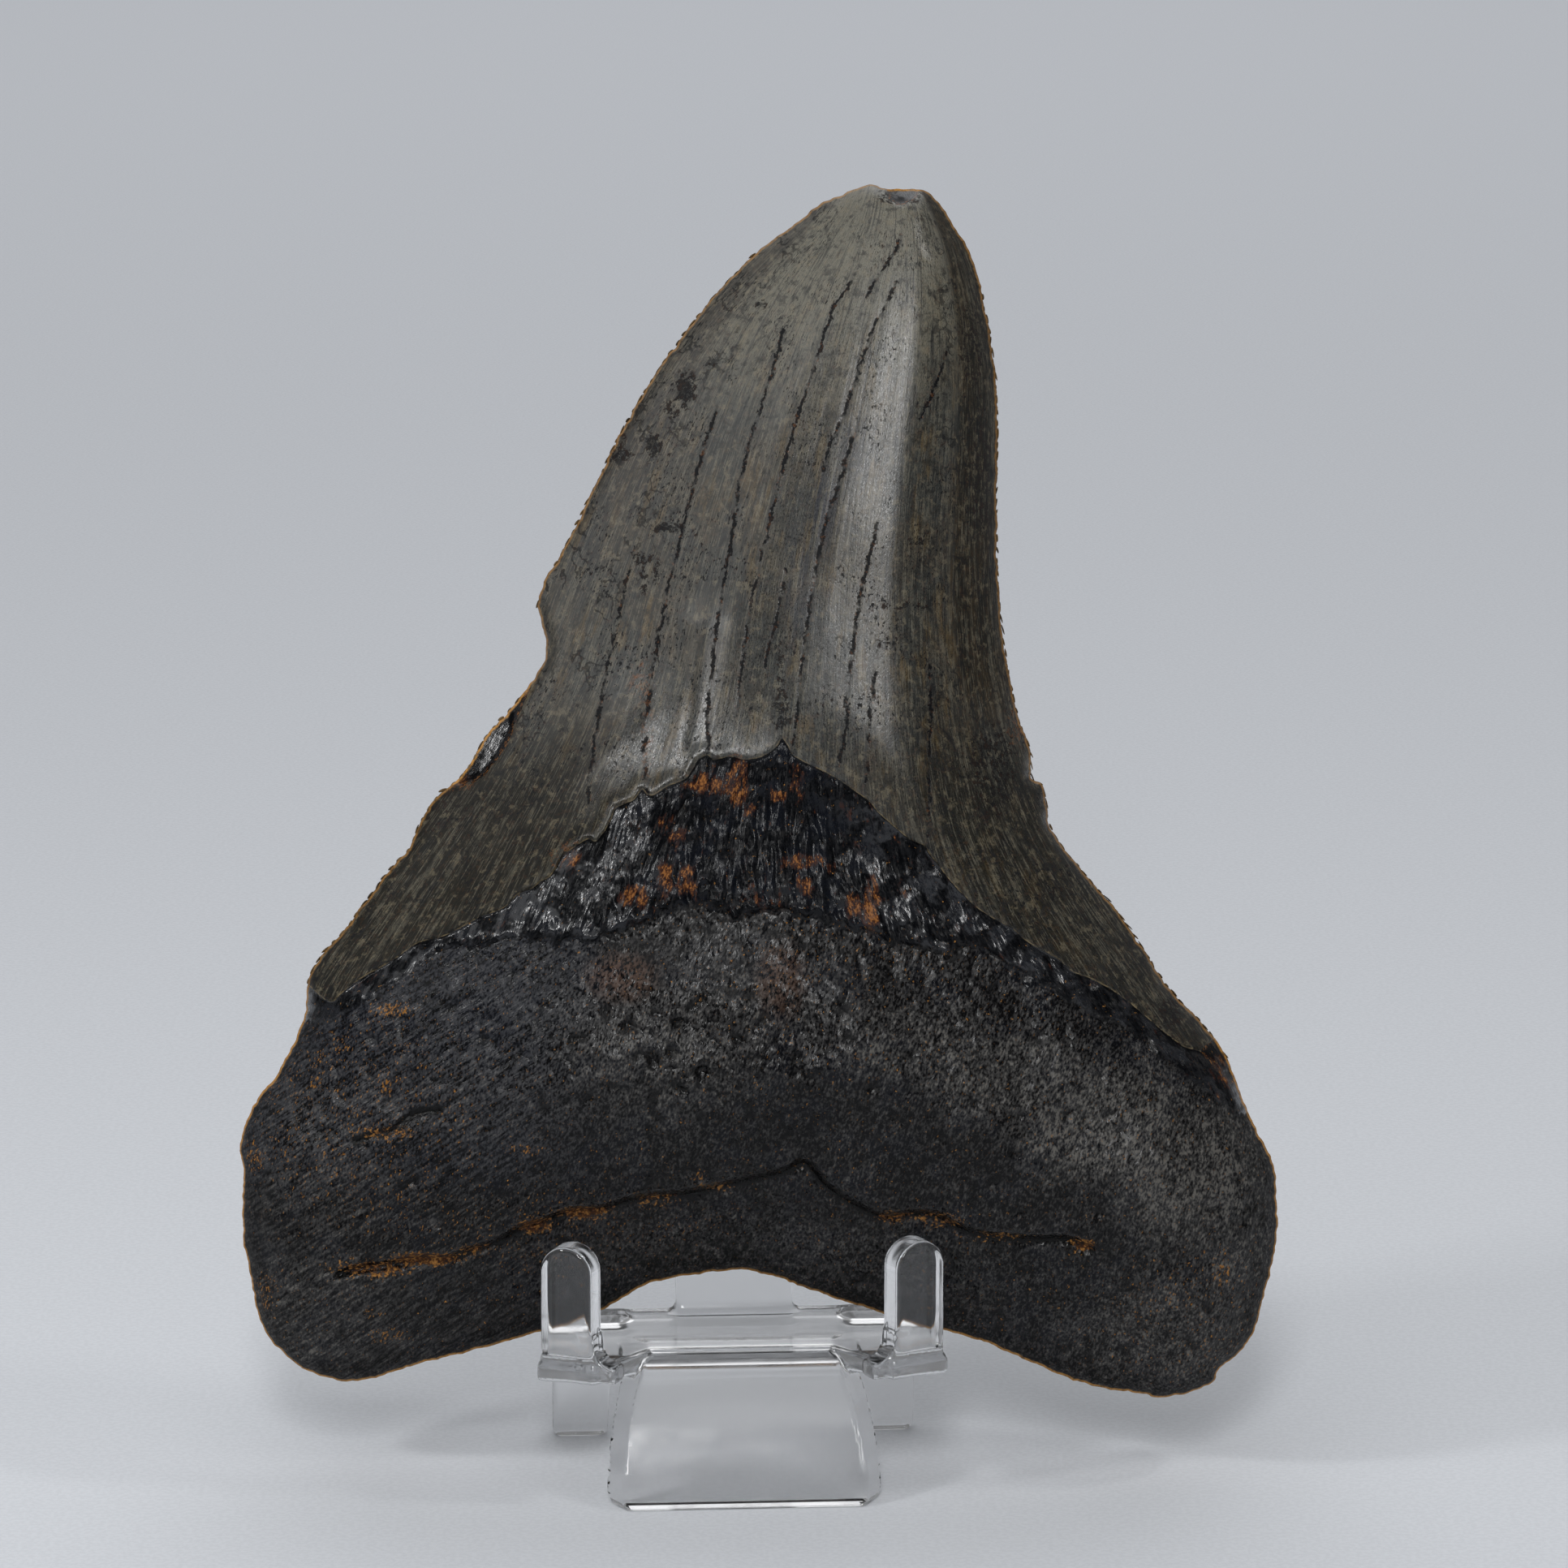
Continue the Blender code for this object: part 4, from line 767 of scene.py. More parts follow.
# %% [markdown]
# ## Worn serrations and crumbs of sediment
# A shark tooth saws with a row of tiny knobs along both cutting edges. On this fossil they are worn to
# low, uneven ripples a little over a millimetre apart. The fold across the root still holds crumbs of the
# sand it was buried in. Both are one small shape repeated along a line, which is what Geometry Nodes do
# well: the pitch, the size and the seed stay plain numbers, and the result is turned into an ordinary
# mesh at the end.

# %% A tree that repeats a small lump along curves
def lumps_tree(name):
    """Geometry Nodes: lumps along curves, with pitch, size, scatter, seed and material as inputs."""
    tree = bpy.data.node_groups.new(name, "GeometryNodeTree")
    tree.interface.new_socket(name="Geometry", in_out="OUTPUT", socket_type="NodeSocketGeometry")
    for label, kind in (("Geometry", "Geometry"), ("Pitch", "Float"), ("Size", "Vector"),
                        ("Scatter", "Float"), ("Turn", "Float"), ("Detail", "Int"), ("Seed", "Int"),
                        ("Material", "Material")):
        tree.interface.new_socket(name=label, in_out="INPUT", socket_type="NodeSocket" + kind)

    def add(kind, inputs=None, **options):
        made = tree.nodes.new(kind)
        for option, value in options.items():
            setattr(made, option, value)
        for socket, value in (inputs or {}).items():
            if isinstance(value, bpy.types.NodeSocket):
                tree.links.new(value, made.inputs[socket])
            else:
                made.inputs[socket].default_value = value
        return made

    given = add("NodeGroupInput").outputs
    stations = add("GeometryNodeCurveToPoints", {"Curve": given["Geometry"], "Length": given["Pitch"]},
                   mode="LENGTH")
    offset = add("FunctionNodeRandomValue", {0: (-1, -1, -1), 1: (1, 1, 1), "Seed": given["Seed"]},
                 data_type="FLOAT_VECTOR")
    spread = add("ShaderNodeVectorMath", {0: offset.outputs["Value"], "Scale": given["Scatter"]},
                 operation="SCALE")
    moved = add("GeometryNodeSetPosition",
                {"Geometry": stations.outputs["Points"], "Offset": spread.outputs["Vector"]})
    lump = add("GeometryNodeMeshIcoSphere", {"Radius": 0.5, "Subdivisions": given["Detail"]})
    extra = add("FunctionNodeRandomValue", {0: (-3, -3, -3), 1: (3, 3, 3), "Seed": given["Seed"]},
                data_type="FLOAT_VECTOR")
    turn = add("ShaderNodeVectorMath", {0: extra.outputs["Value"], "Scale": given["Turn"]},
               operation="SCALE")
    turned = add("FunctionNodeRotateRotation",
                 {"Rotation": stations.outputs["Rotation"], "Rotate By": turn.outputs["Vector"]},
                 rotation_space="LOCAL")
    vary = add("FunctionNodeRandomValue", {0: (0.6, 0.7, 0.6), 1: (1.25, 1.2, 1.25), "Seed": given["Seed"]},
               data_type="FLOAT_VECTOR")
    size = add("ShaderNodeVectorMath", {0: given["Size"], 1: vary.outputs["Value"]},
               operation="MULTIPLY")
    placed = add("GeometryNodeInstanceOnPoints",
                 {"Points": moved.outputs["Geometry"], "Instance": lump.outputs["Mesh"],
                  "Rotation": turned.outputs["Rotation"], "Scale": size.outputs["Vector"]})
    smooth = add("GeometryNodeSetShadeSmooth", {"Geometry": placed.outputs["Instances"]})
    real = add("GeometryNodeRealizeInstances", {"Geometry": smooth.outputs["Geometry"]})
    finished = add("GeometryNodeSetMaterial",
                   {"Geometry": real.outputs["Geometry"], "Material": given["Material"]})
    add("NodeGroupOutput", {"Geometry": finished.outputs["Geometry"]})
    return tree


LUMPS = lumps_tree("lumps along curves")


def lumps_along(name, lines, material, **values):
    """A mesh object of lumps along lines in the frame; values go to the tree's named inputs."""
    data = bpy.data.curves.new(name + " lines", "CURVE")
    data.dimensions = "3D"
    for line in lines:
        spline = data.splines.new("POLY")
        spline.points.add(len(line) - 1)
        spline.points.foreach_set("co", np.column_stack([line, np.ones(len(line))]).ravel())
    carrier = show_object(name + " lines", data)
    modifier = carrier.modifiers.new("lumps", "NODES")
    modifier.node_group = LUMPS
    for item in LUMPS.interface.items_tree:
        if item.in_out == "INPUT" and item.name in values:
            modifier[item.identifier] = values[item.name]
        if item.in_out == "INPUT" and item.name == "Material":
            modifier[item.identifier] = material
    graph = bpy.context.evaluated_depsgraph_get()
    mesh = bpy.data.meshes.new_from_object(carrier.evaluated_get(graph))
    bpy.data.objects.remove(carrier)
    mesh.name = name
    print(name, "triangles:", sum(len(face.vertices) - 2 for face in mesh.polygons))
    return show_object(name, mesh)


print("tree inputs:", [item.name for item in LUMPS.interface.items_tree if item.in_out == "INPUT"])

# %% [markdown]
# ## The easel as one moulding
# The real easel is injection moulded in one shot: every corner has a small radius and every part flows
# into the next. Joining boxes and bevelling the result leaves pinched corners that clear plastic would
# show at once. Instead each part is a distance function, a rule that says how far any point is from its
# surface. Two distances blend with a soft minimum, which makes the fillets, and the zero surface is then
# skinned with a fine net whose points are pushed exactly onto it.

# %% Sizes of the easel, in millimetres behind the toe of its front foot and above the floor
EASEL_PLACE = (-1.165, -18.712, 0.0)
EASEL_TURN = radians(3.5)
SHEET = 2.4
SHELF_TOP = 13.3
PRONG_HALF = 2.6
PRONG_THICK = 2.9
PRONG_HEIGHT = 11.5
PRONG_TURN = radians(25.0)
PRONG_AT = (16.9, 4.1)
LEG_OUTER_HALF = 17.7
WEB_REACH = 5.0
WEB_RADIUS = 2.4
WEB_INSET = 0.15
BACKREST_Y = 19.8
BACKREST_LENGTH = 46.0
BACKREST_TOP_HALF = 6.6
BACKREST_FOOT_HALF = 5.6
FOOT_HALF = 8.8
FOOT_DRAFT = 1.4  # the foot's sheet is this much wider at its back
FOOT_SPREAD = 2.9
FOOT_CURVE = 2.2
LEG_WIDTH = 7.0
LEG_TAPER = 1.6
EDGE_ROUND = 0.45
NET_CELL = 0.34
FOOT_LINE = [(11.5, 13.3), (8.4, 12.7), (5.4, 10.4), (2.8, 6.9), (1.0, 3.3), (0.0, 0.0), (-0.8, -3.0)]
LEG_LINE = [(19.0, 13.3), (21.4, 12.6), (23.0, 9.9), (24.0, 5.9), (25.0, 0.0), (25.7, -3.0)]
SHELF_OUTLINE = [(8.6, 8.8), (14.3, 2.6), (19.5, 5.0), (18.6, 13.0), (17.7, 22.0)]
SHELF_DRAFT = 0.14  # the shelf grows this much thinner per mm towards its front
SHELF_DRAFT_FROM = 8.8
SHELF_DRAFT_LENGTH = 6.0
NET_LOW = (-20.4, -1.0, -1.0)
NET_HIGH = (20.4, 34.0, 60.5)


# %% Distance functions
def meet(first, second, radius=EDGE_ROUND):
    """What is inside both, with the edge between them rounded."""
    first, second = first + radius, second + radius
    outside = np.hypot(np.maximum(first, 0), np.maximum(second, 0))
    return np.minimum(np.maximum(first, second), 0) + outside - radius


def join(first, second, fillet):
    """What is inside either, with a fillet where they come together."""
    share = np.clip(0.5 + 0.5 * (second - first) / fillet, 0, 1)
    return second + (first - second) * share - fillet * share * (1 - share)


def slab(value, low, high):
    return np.abs(value - (low + high) / 2) - (high - low) / 2


def along_line(across, up, line):
    """Distance from a line of points in a side view."""
    best = np.full(across.shape, np.inf)
    for (a0, b0), (a1, b1) in zip(line[:-1], line[1:]):
        run_a, run_b = a1 - a0, b1 - b0
        share = np.clip(((across - a0) * run_a + (up - b0) * run_b) / (run_a ** 2 + run_b ** 2), 0, 1)
        best = np.minimum(best, (across - a0 - share * run_a) ** 2 + (up - b0 - share * run_b) ** 2)
    return np.sqrt(best)


def middle_line(points, offset, step=0.8):
    """The line halfway through a bent sheet, from the line of its outer face."""
    line = curve_through(points, step)
    ahead = np.gradient(line, axis=0)
    normal = np.stack([-ahead[:, 1], ahead[:, 0]], axis=1) / np.linalg.norm(ahead, axis=1)[:, None]
    return line + offset * normal


FOOT_MIDDLE = middle_line(FOOT_LINE, SHEET / 2)
LEG_MIDDLE = middle_line(LEG_LINE, -SHEET / 2)


def underside(y):
    """Level of the shelf's lower face."""
    return SHELF_TOP - SHEET + SHELF_DRAFT * np.clip(SHELF_DRAFT_FROM - y, 0, SHELF_DRAFT_LENGTH)


def shelf_distance(x, y, z):
    half = np.array([(x, y) for x, y in SHELF_OUTLINE])
    outline = np.vstack([half, half[::-1] * (-1, 1)])
    plan = along_line(x, y, np.vstack([outline, outline[:1]]))
    within = inside(np.column_stack([x.ravel(), y.ravel()]), outline).reshape(x.shape)
    return meet(np.where(within, -plan, plan), slab(z, underside(y), SHELF_TOP))


def foot_distance(x, y, z):
    middle = np.interp(z, FOOT_MIDDLE[::-1, 1], FOOT_MIDDLE[::-1, 0])
    behind = np.clip((y - middle) / SHEET + 0.5, 0, 1)
    spread = FOOT_SPREAD * (1 - np.clip(z / SHELF_TOP, 0, 1) ** FOOT_CURVE)
    half_width = FOOT_HALF + FOOT_DRAFT * behind + spread
    sheet = along_line(y, z, FOOT_MIDDLE) - SHEET / 2
    front = meet(np.abs(x) - half_width, -z, 1.1)
    return meet(sheet, front, 0.2)


def leg_distance(x, y, z):
    width = LEG_WIDTH - LEG_TAPER * (1 - np.clip(z / SHELF_TOP, 0, 1) ** 2)
    sheet = along_line(y, z, LEG_MIDDLE) - SHEET / 2
    sideways = slab(np.abs(x), LEG_OUTER_HALF - width, LEG_OUTER_HALF)
    return meet(sheet, meet(sideways, -z, 0.8))


def backrest_distance(x, y, z):
    up = (y - BACKREST_Y) * sin(LEAN) + (z - SHELF_TOP) * cos(LEAN)
    front = -(y - BACKREST_Y) * cos(LEAN) + (z - SHELF_TOP) * sin(LEAN)
    top = BACKREST_LENGTH - BACKREST_TOP_HALF
    half = BACKREST_FOOT_HALF + (BACKREST_TOP_HALF - BACKREST_FOOT_HALF) * np.maximum(up, 0) / top
    outline = np.where(up > top, np.hypot(x, up - top) - BACKREST_TOP_HALF, np.abs(x) - half)
    outline = np.maximum(outline, -0.5 * SHEET - up)
    return meet(outline, slab(front, -SHEET, 0.0))


def prong_distances(x, y, z):
    """The upright plate of one prong, and the web in its inner corner; both prongs by symmetry."""
    side_x = np.abs(x) - PRONG_AT[0]
    inward = -side_x * cos(PRONG_TURN) - (y - PRONG_AT[1]) * sin(PRONG_TURN)
    back = -side_x * sin(PRONG_TURN) + (y - PRONG_AT[1]) * cos(PRONG_TURN)
    up = z - SHELF_TOP
    top = PRONG_HEIGHT - PRONG_HALF
    face = np.where(up > top, np.hypot(inward, up - top), np.abs(inward)) - PRONG_HALF
    plate = meet(slab(back, 0.0, PRONG_THICK), np.maximum(face, -1.2 - up))
    corner = np.maximum(slab(inward, 1.6, WEB_REACH), slab(up, -1.5, 2.6))
    corner = np.maximum(corner, WEB_RADIUS - np.hypot(inward - WEB_REACH, up - WEB_RADIUS))
    web = meet(corner, slab(back, WEB_INSET, PRONG_THICK - WEB_INSET), 0.3)
    return plate, web


def easel_distance(points):
    x, y, z = points.T
    plate, web = prong_distances(x, y, z)
    whole = join(shelf_distance(x, y, z), foot_distance(x, y, z), 0.5)
    whole = join(whole, leg_distance(x, y, z), 1.2)
    whole = join(whole, backrest_distance(x, y, z), 1.0)
    return join(whole, join(plate, web, 0.8), 0.6)


# %% Skin the distance with a fine net
def net_over(distance, low, high, cell):
    """Quads round the inside of a distance function, their points pushed onto its surface."""
    axes = [np.arange(a, b + cell, cell) for a, b in zip(low, high)]
    grid = np.stack(np.meshgrid(*axes, indexing="ij"), axis=-1)
    solid = distance(grid.reshape(-1, 3)).reshape(grid.shape[:3]) < 0
    near = [slice(None, -1), slice(1, None)]
    filled = sum(solid[a, b, c].astype(int) for a in near for b in near for c in near)
    active = (filled > 0) & (filled < 8)
    number = np.full(active.shape, -1)
    number[active] = np.arange(active.sum())
    points = grid[:-1, :-1, :-1][active] + cell / 2
    quads = []
    for axis in range(3):
        order = [axis, (axis + 1) % 3, (axis + 2) % 3]
        state, cells = solid.transpose(order), number.transpose(order)
        crossing = state[:-1, 1:-1, 1:-1].astype(int) - state[1:, 1:-1, 1:-1]
        ring_of_cells = np.stack([cells[:, :-1, :-1], cells[:, 1:, :-1], cells[:, 1:, 1:],
                                  cells[:, :-1, 1:]], axis=-1)
        quads += [ring_of_cells[crossing > 0], ring_of_cells[crossing < 0][:, ::-1]]
    quads = np.vstack(quads)
    edges = np.vstack([quads[:, [one, (one + 1) % 4]] for one in range(4)])
    links = np.bincount(edges.ravel(), minlength=len(points))[:, None]
    for _ in range(4):
        total = np.zeros_like(points)
        for one, other in ((0, 1), (1, 0)):
            np.add.at(total, edges[:, one], points[edges[:, other]])
        points = 0.5 * points + 0.5 * total / links
        for _ in range(3):
            points = points - distance(points)[:, None] * slope_of(distance, points)
    return points, quads


def slope_of(distance, points, reach=0.02):
    """Unit direction in which a distance grows."""
    steps = reach * np.eye(3)
    slope = np.stack([distance(points + step) - distance(points - step) for step in steps], axis=1)
    return slope / np.linalg.norm(slope, axis=1)[:, None]


net_points, net_quads = net_over(easel_distance, NET_LOW, NET_HIGH, NET_CELL)
outward = slope_of(easel_distance, net_points)
turn = np.array(Matrix.Rotation(EASEL_TURN, 3, "Z"))
easel_mesh = bpy.data.meshes.new("easel")
easel_mesh.from_pydata((net_points @ turn.T + EASEL_PLACE) * MM, [], net_quads.tolist())
easel_mesh.shade_smooth()
easel_mesh.normals_split_custom_set_from_vertices(outward @ turn.T)
easel = show_object("acrylic_easel", easel_mesh)
easel_size = np.ptp(net_points, axis=0)
print("easel quads:", len(net_quads), "size in mm:", easel_size.round(2))

# %% [markdown]
# ## Small tools for materials
# A colour is written the way a paint chart writes it and turned into the renderer's linear values in one
# place. One function adds any shader node and feeds its inputs, and short words stand for the nodes used
# most, so that a material reads as a list of layers instead of a page of links.

# %% Colours and nodes
def colour(code):
    """A web colour such as #3a3733 as linear red, green, blue and alpha."""
    shares = [int(code[place:place + 2], 16) / 255 for place in (1, 3, 5)]
    return [s / 12.92 if s <= 0.04045 else ((s + 0.055) / 1.055) ** 2.4 for s in shares] + [1.0]


def add_node(tree, kind, inputs=None, **options):
    made = tree.nodes.new("ShaderNode" + kind)
    for option, value in options.items():
        setattr(made, option, value)
    for socket, value in (inputs or {}).items():
        if isinstance(value, bpy.types.NodeSocket):
            tree.links.new(value, made.inputs[socket])
        else:
            made.inputs[socket].default_value = value
    return made


class Layers:
    """Short words for the nodes that a layered material is made of; every size is in mm."""

    def __init__(self, name):
        self.material = bpy.data.materials.new(name)
        self.material.use_nodes = True
        self.tree = self.material.node_tree
        self.shader = self.tree.nodes["Principled BSDF"]
        place = add_node(self.tree, "TexCoord").outputs["Object"]
        self.place = self.stretched(place, (MM, MM, MM))

    def value(self, name):
        return add_node(self.tree, "Attribute", attribute_name=name).outputs["Fac"]

    def vector(self, name):
        return add_node(self.tree, "Attribute", attribute_name=name).outputs["Vector"]

    def stretched(self, vector, sizes, angle=0.0, seed=0.0):
        """Places counted in pieces of these sizes, along axes turned by an angle."""
        values = {"Vector": vector, "Location": (seed, seed, seed), "Rotation": (0, 0, angle), "Scale": sizes}
        return add_node(self.tree, "Mapping", values, vector_type="TEXTURE").outputs["Vector"]

    def noise(self, size, vector=None, angle=0.0, detail=2.0, rough=0.5, seed=0.0):
        """Noise of one size, or of a width and a length along the turned second axis."""
        width, length = size if isinstance(size, tuple) else (size, size)
        places = self.stretched(vector or self.place, (width, length, length), angle, seed)
        values = {"Vector": places, "Scale": 1.0, "Detail": detail, "Roughness": rough}
        return add_node(self.tree, "TexNoise", values).outputs["Fac"]

    def chain(self, operation, values):
        """One math node after another, from the first value to the last."""
        result = values[0]
        for value in values[1:]:
            result = add_node(self.tree, "Math", {0: result, 1: value}, operation=operation).outputs[0]
        return result

    def sum(self, *values):
        return self.chain("ADD", values)

    def times(self, *values):
        return self.chain("MULTIPLY", values)

    def most(self, *values):
        return self.chain("MAXIMUM", values)

    def least(self, *values):
        return self.chain("MINIMUM", values)

    def absolute(self, value):
        return self.chain("ABSOLUTE", (value, 0.0))

    def swing(self, noise, amount):
        """Noise shifted to swing around nothing."""
        return self.times(self.sum(noise, -0.5), amount)

    def rise(self, value, low, high, start=0.0, end=1.0):
        """Start below low, end above high, smooth between."""
        values = {"Value": value, "From Min": low, "From Max": high, "To Min": start, "To Max": end}
        return add_node(self.tree, "MapRange", values, interpolation_type="SMOOTHSTEP").outputs[0]

    def mix(self, factor, first, second):
        values = {0: factor, 6: first, 7: second}
        return add_node(self.tree, "Mix", values, data_type="RGBA").outputs[2]

    def between(self, factor, first, second):
        """From one web colour to another."""
        return self.mix(factor, colour(first), colour(second))

    def over(self, base, code, factor):
        """A web colour laid over the base, as strongly as the factor says."""
        return self.mix(factor, base, colour(code))

    def pick(self, factor, first, second):
        return add_node(self.tree, "Mix", {0: factor, 2: first, 3: second}).outputs[0]

    def bump(self, depth):
        """The normal for a small relief given in mm."""
        return add_node(self.tree, "Bump", {"Height": depth, "Distance": MM, "Strength": 1.0}).outputs[0]

    def feed(self, **sockets):
        for name, value in sockets.items():
            socket = self.shader.inputs[name.replace("_", " ")]
            if isinstance(value, bpy.types.NodeSocket):
                self.tree.links.new(value, socket)
            else:
                socket.default_value = value


# %% [markdown]
# ## Enamel, ribbed band and root
# One skin carries three finishes, and their borders are ragged on a scale much finer than any triangle.
# So they are one material in three layers, and the distances stored on the mesh decide which layer shows.
# Bumps on the enamel stay within a few hundredths of a millimetre: steeper ones would scatter the
# highlight on the ridge into a grey veil.
# The enamel is smooth and half glossy, grey in the middle and brown at its margins, with growth lines,
# specks, black cracks and a painted sheen towards the tip. The band is nearly black and glossy with rust
# in its grooves, painted shade deep in them and a painted sheen, partly dust, on its crests. The root is
# dry and granular: almost black, dusted with pale and ochre grains, with painted shade in its pits and its
# fold, and painted shadow under the band and under the enamel's edge.

# %% Enamel layer
def enamel_layer(m):
    flow = m.vector("flow")
    share = m.value("share")
    level = m.value("level")
    clouds = m.noise(7.0, detail=3.0)
    tints = m.noise((2.2, 6.0), flow, detail=3.0, rough=0.6)
    streaks = m.noise((0.5, 8.0), flow, detail=3.0, rough=0.65)
    hairs = m.noise((0.11, 2.4), flow, detail=2.0, rough=0.6)
    scuffs = m.noise((0.1, 1.3), m.vector("plane"), angle=SCUFF_SLANT, detail=1.0)
    mottle = m.noise(0.9, detail=4.0, rough=0.65)
    crisp = m.noise((0.13, 0.24), flow, detail=2.0, rough=0.7)

    # Broad tints, a painted sheen towards the tip, and the brown margins
    base = m.between(m.rise(clouds, 0.42, 0.58), "#2d2e2a", "#3a352a")
    base = m.over(base, "#574522", m.rise(tints, 0.54, 0.66, 0.0, 0.65))
    base = m.over(base, "#282c2b", m.rise(tints, 0.46, 0.34, 0.0, 0.6))
    # A painted sheen: lighter grey towards the tip, where the crown turns up to the light above.
    base = m.over(base, "#7b786a", m.rise(level, 88.0, 110.0, 0.0, 0.7))
    lower = m.most(m.rise(share, 0.4, 0.22), m.rise(share, 0.62, 0.8, 0.0, 0.75))
    lower = m.times(lower, m.rise(level, 70.0, 57.0))
    base = m.over(base, "#1e1b14", m.times(lower, 0.95))
    left = m.times(m.rise(m.sum(share, m.swing(mottle, 0.25)), 0.22, 0.06), m.rise(level, 76.0, 94.0))
    right = m.times(m.rise(m.sum(share, m.swing(mottle, 0.03)), 0.862, 0.905), m.rise(level, 60.0, 70.0))
    base = m.over(base, "#2a2217", m.times(left, 0.8))
    brown = m.between(m.rise(tints, 0.4, 0.6), "#171208", "#2c2213")
    base = m.mix(m.times(right, 0.85), base, brown)

    # Growth lines and grain: a pattern, where its colour starts and is full, how strong, which colour
    blotch = m.noise((1.2, 2.6), flow, detail=4.0, rough=0.7, seed=15.0)
    for pattern, start, full, amount, code in (
        (streaks, 0.47, 0.36, 0.7, "#1d1e1e"), (streaks, 0.53, 0.64, 0.4, "#6a6659"),
        (blotch, 0.46, 0.36, 0.65, "#191913"),
        (hairs, 0.47, 0.36, 0.5, "#161717"), (hairs, 0.54, 0.64, 0.35, "#7d7869"),
        (mottle, 0.47, 0.36, 0.65, "#171611"), (mottle, 0.54, 0.66, 0.45, "#736a56"),
        (crisp, 0.47, 0.36, 0.55, "#11110c"),
    ):
        base = m.over(base, code, m.rise(pattern, start, full, 0.0, amount))
    base = m.over(base, "#171b24", m.times(m.value("blue"), m.rise(streaks, 0.62, 0.42)))

    # Specks, scribbles and larger dark marks
    patchy = m.rise(m.noise(4.0, detail=2.0), 0.44, 0.6, 0.1, 1.0)
    speck = m.rise(m.noise((0.32, 0.45), flow, detail=2.0, rough=0.6, seed=3.0), 0.58, 0.64)
    larger = m.rise(m.noise((0.7, 1.0), flow, detail=3.0, rough=0.7, seed=5.0), 0.65, 0.7)
    curls = m.rise(m.absolute(m.sum(m.noise(1.9, detail=3.0), -0.5)), 0.035, 0.015)
    side = m.most(m.rise(share, 0.72, 0.86), m.rise(share, 0.3, 0.12), 0.12)
    scribbles = m.times(curls, m.rise(m.noise(3.1, detail=1.0), 0.5, 0.58), side)
    torn = m.rise(m.noise(0.6, detail=5.0, rough=0.75, seed=6.0), 0.44, 0.58)
    marks = m.rise(m.sum(m.value("dark"), m.swing(torn, 0.8)), 0.42, 0.7)
    spots = m.most(m.times(m.most(speck, larger), patchy), m.times(scribbles, 0.75), marks)
    base = m.over(base, "#0c0d10", m.times(spots, 0.9))

    # Cracks of uneven width with stains beside them, rust, and the pale edge of the enamel
    present = m.rise(m.noise(2.0, detail=3.0, rough=0.6, seed=7.0), 0.38, 0.5, 0.05, 1.0)
    width = m.sum(m.swing(m.noise(0.3, detail=2.0, rough=0.7), 0.5),
                  m.rise(m.noise(0.6, detail=1.0, seed=9.0), 0.54, 0.64, 0.0, -0.13))
    line = m.times(m.rise(m.sum(m.value("crack"), width), 0.18, 0.07), present)
    halo = m.times(m.rise(m.value("crack"), 0.55, 0.1), m.rise(m.most(mottle, crisp), 0.5, 0.66))
    base = m.over(base, "#1a1b1c", m.times(halo, 0.6))
    base = m.over(base, "#040508", m.times(line, 0.98))
    beside = m.times(m.rise(m.value("crack"), 0.4, 0.12), m.rise(m.noise(0.4, seed=11.0), 0.6, 0.7))
    rusty = m.times(m.rise(m.sum(m.value("rust"), m.swing(torn, 0.9)), 0.3, 0.9), m.rise(crisp, 0.4, 0.55))
    base = m.over(base, "#6e4524", m.most(m.times(rusty, 0.7), m.times(beside, 0.35)))
    pale_edge = m.times(m.rise(m.value("enamel"), 0.16, 0.02), m.rise(mottle, 0.42, 0.6))
    base = m.over(base, "#94825f", m.times(pale_edge, 0.55))

    # Gloss, shallow relief and the strength of the reflections
    gloss = m.pick(m.rise(crisp, 0.35, 0.62), 0.24, 0.38)
    worn = m.times(m.rise(share, 0.5, 0.32), m.rise(level, 66.0, 80.0))
    worn = m.most(worn, m.rise(m.sum(share, m.swing(mottle, 0.1)), 0.27, 0.17))
    dull = m.most(spots, line, right)
    gloss = m.pick(m.most(dull, worn), gloss, 0.55)
    depth = m.sum(m.times(hairs, 0.004), m.times(crisp, 0.008), m.times(scuffs, 0.004),
                  m.times(streaks, 0.02), m.times(mottle, 0.02), m.times(line, -0.02))
    return base, gloss, depth, m.pick(m.most(dull, lower), 0.46, 0.12)


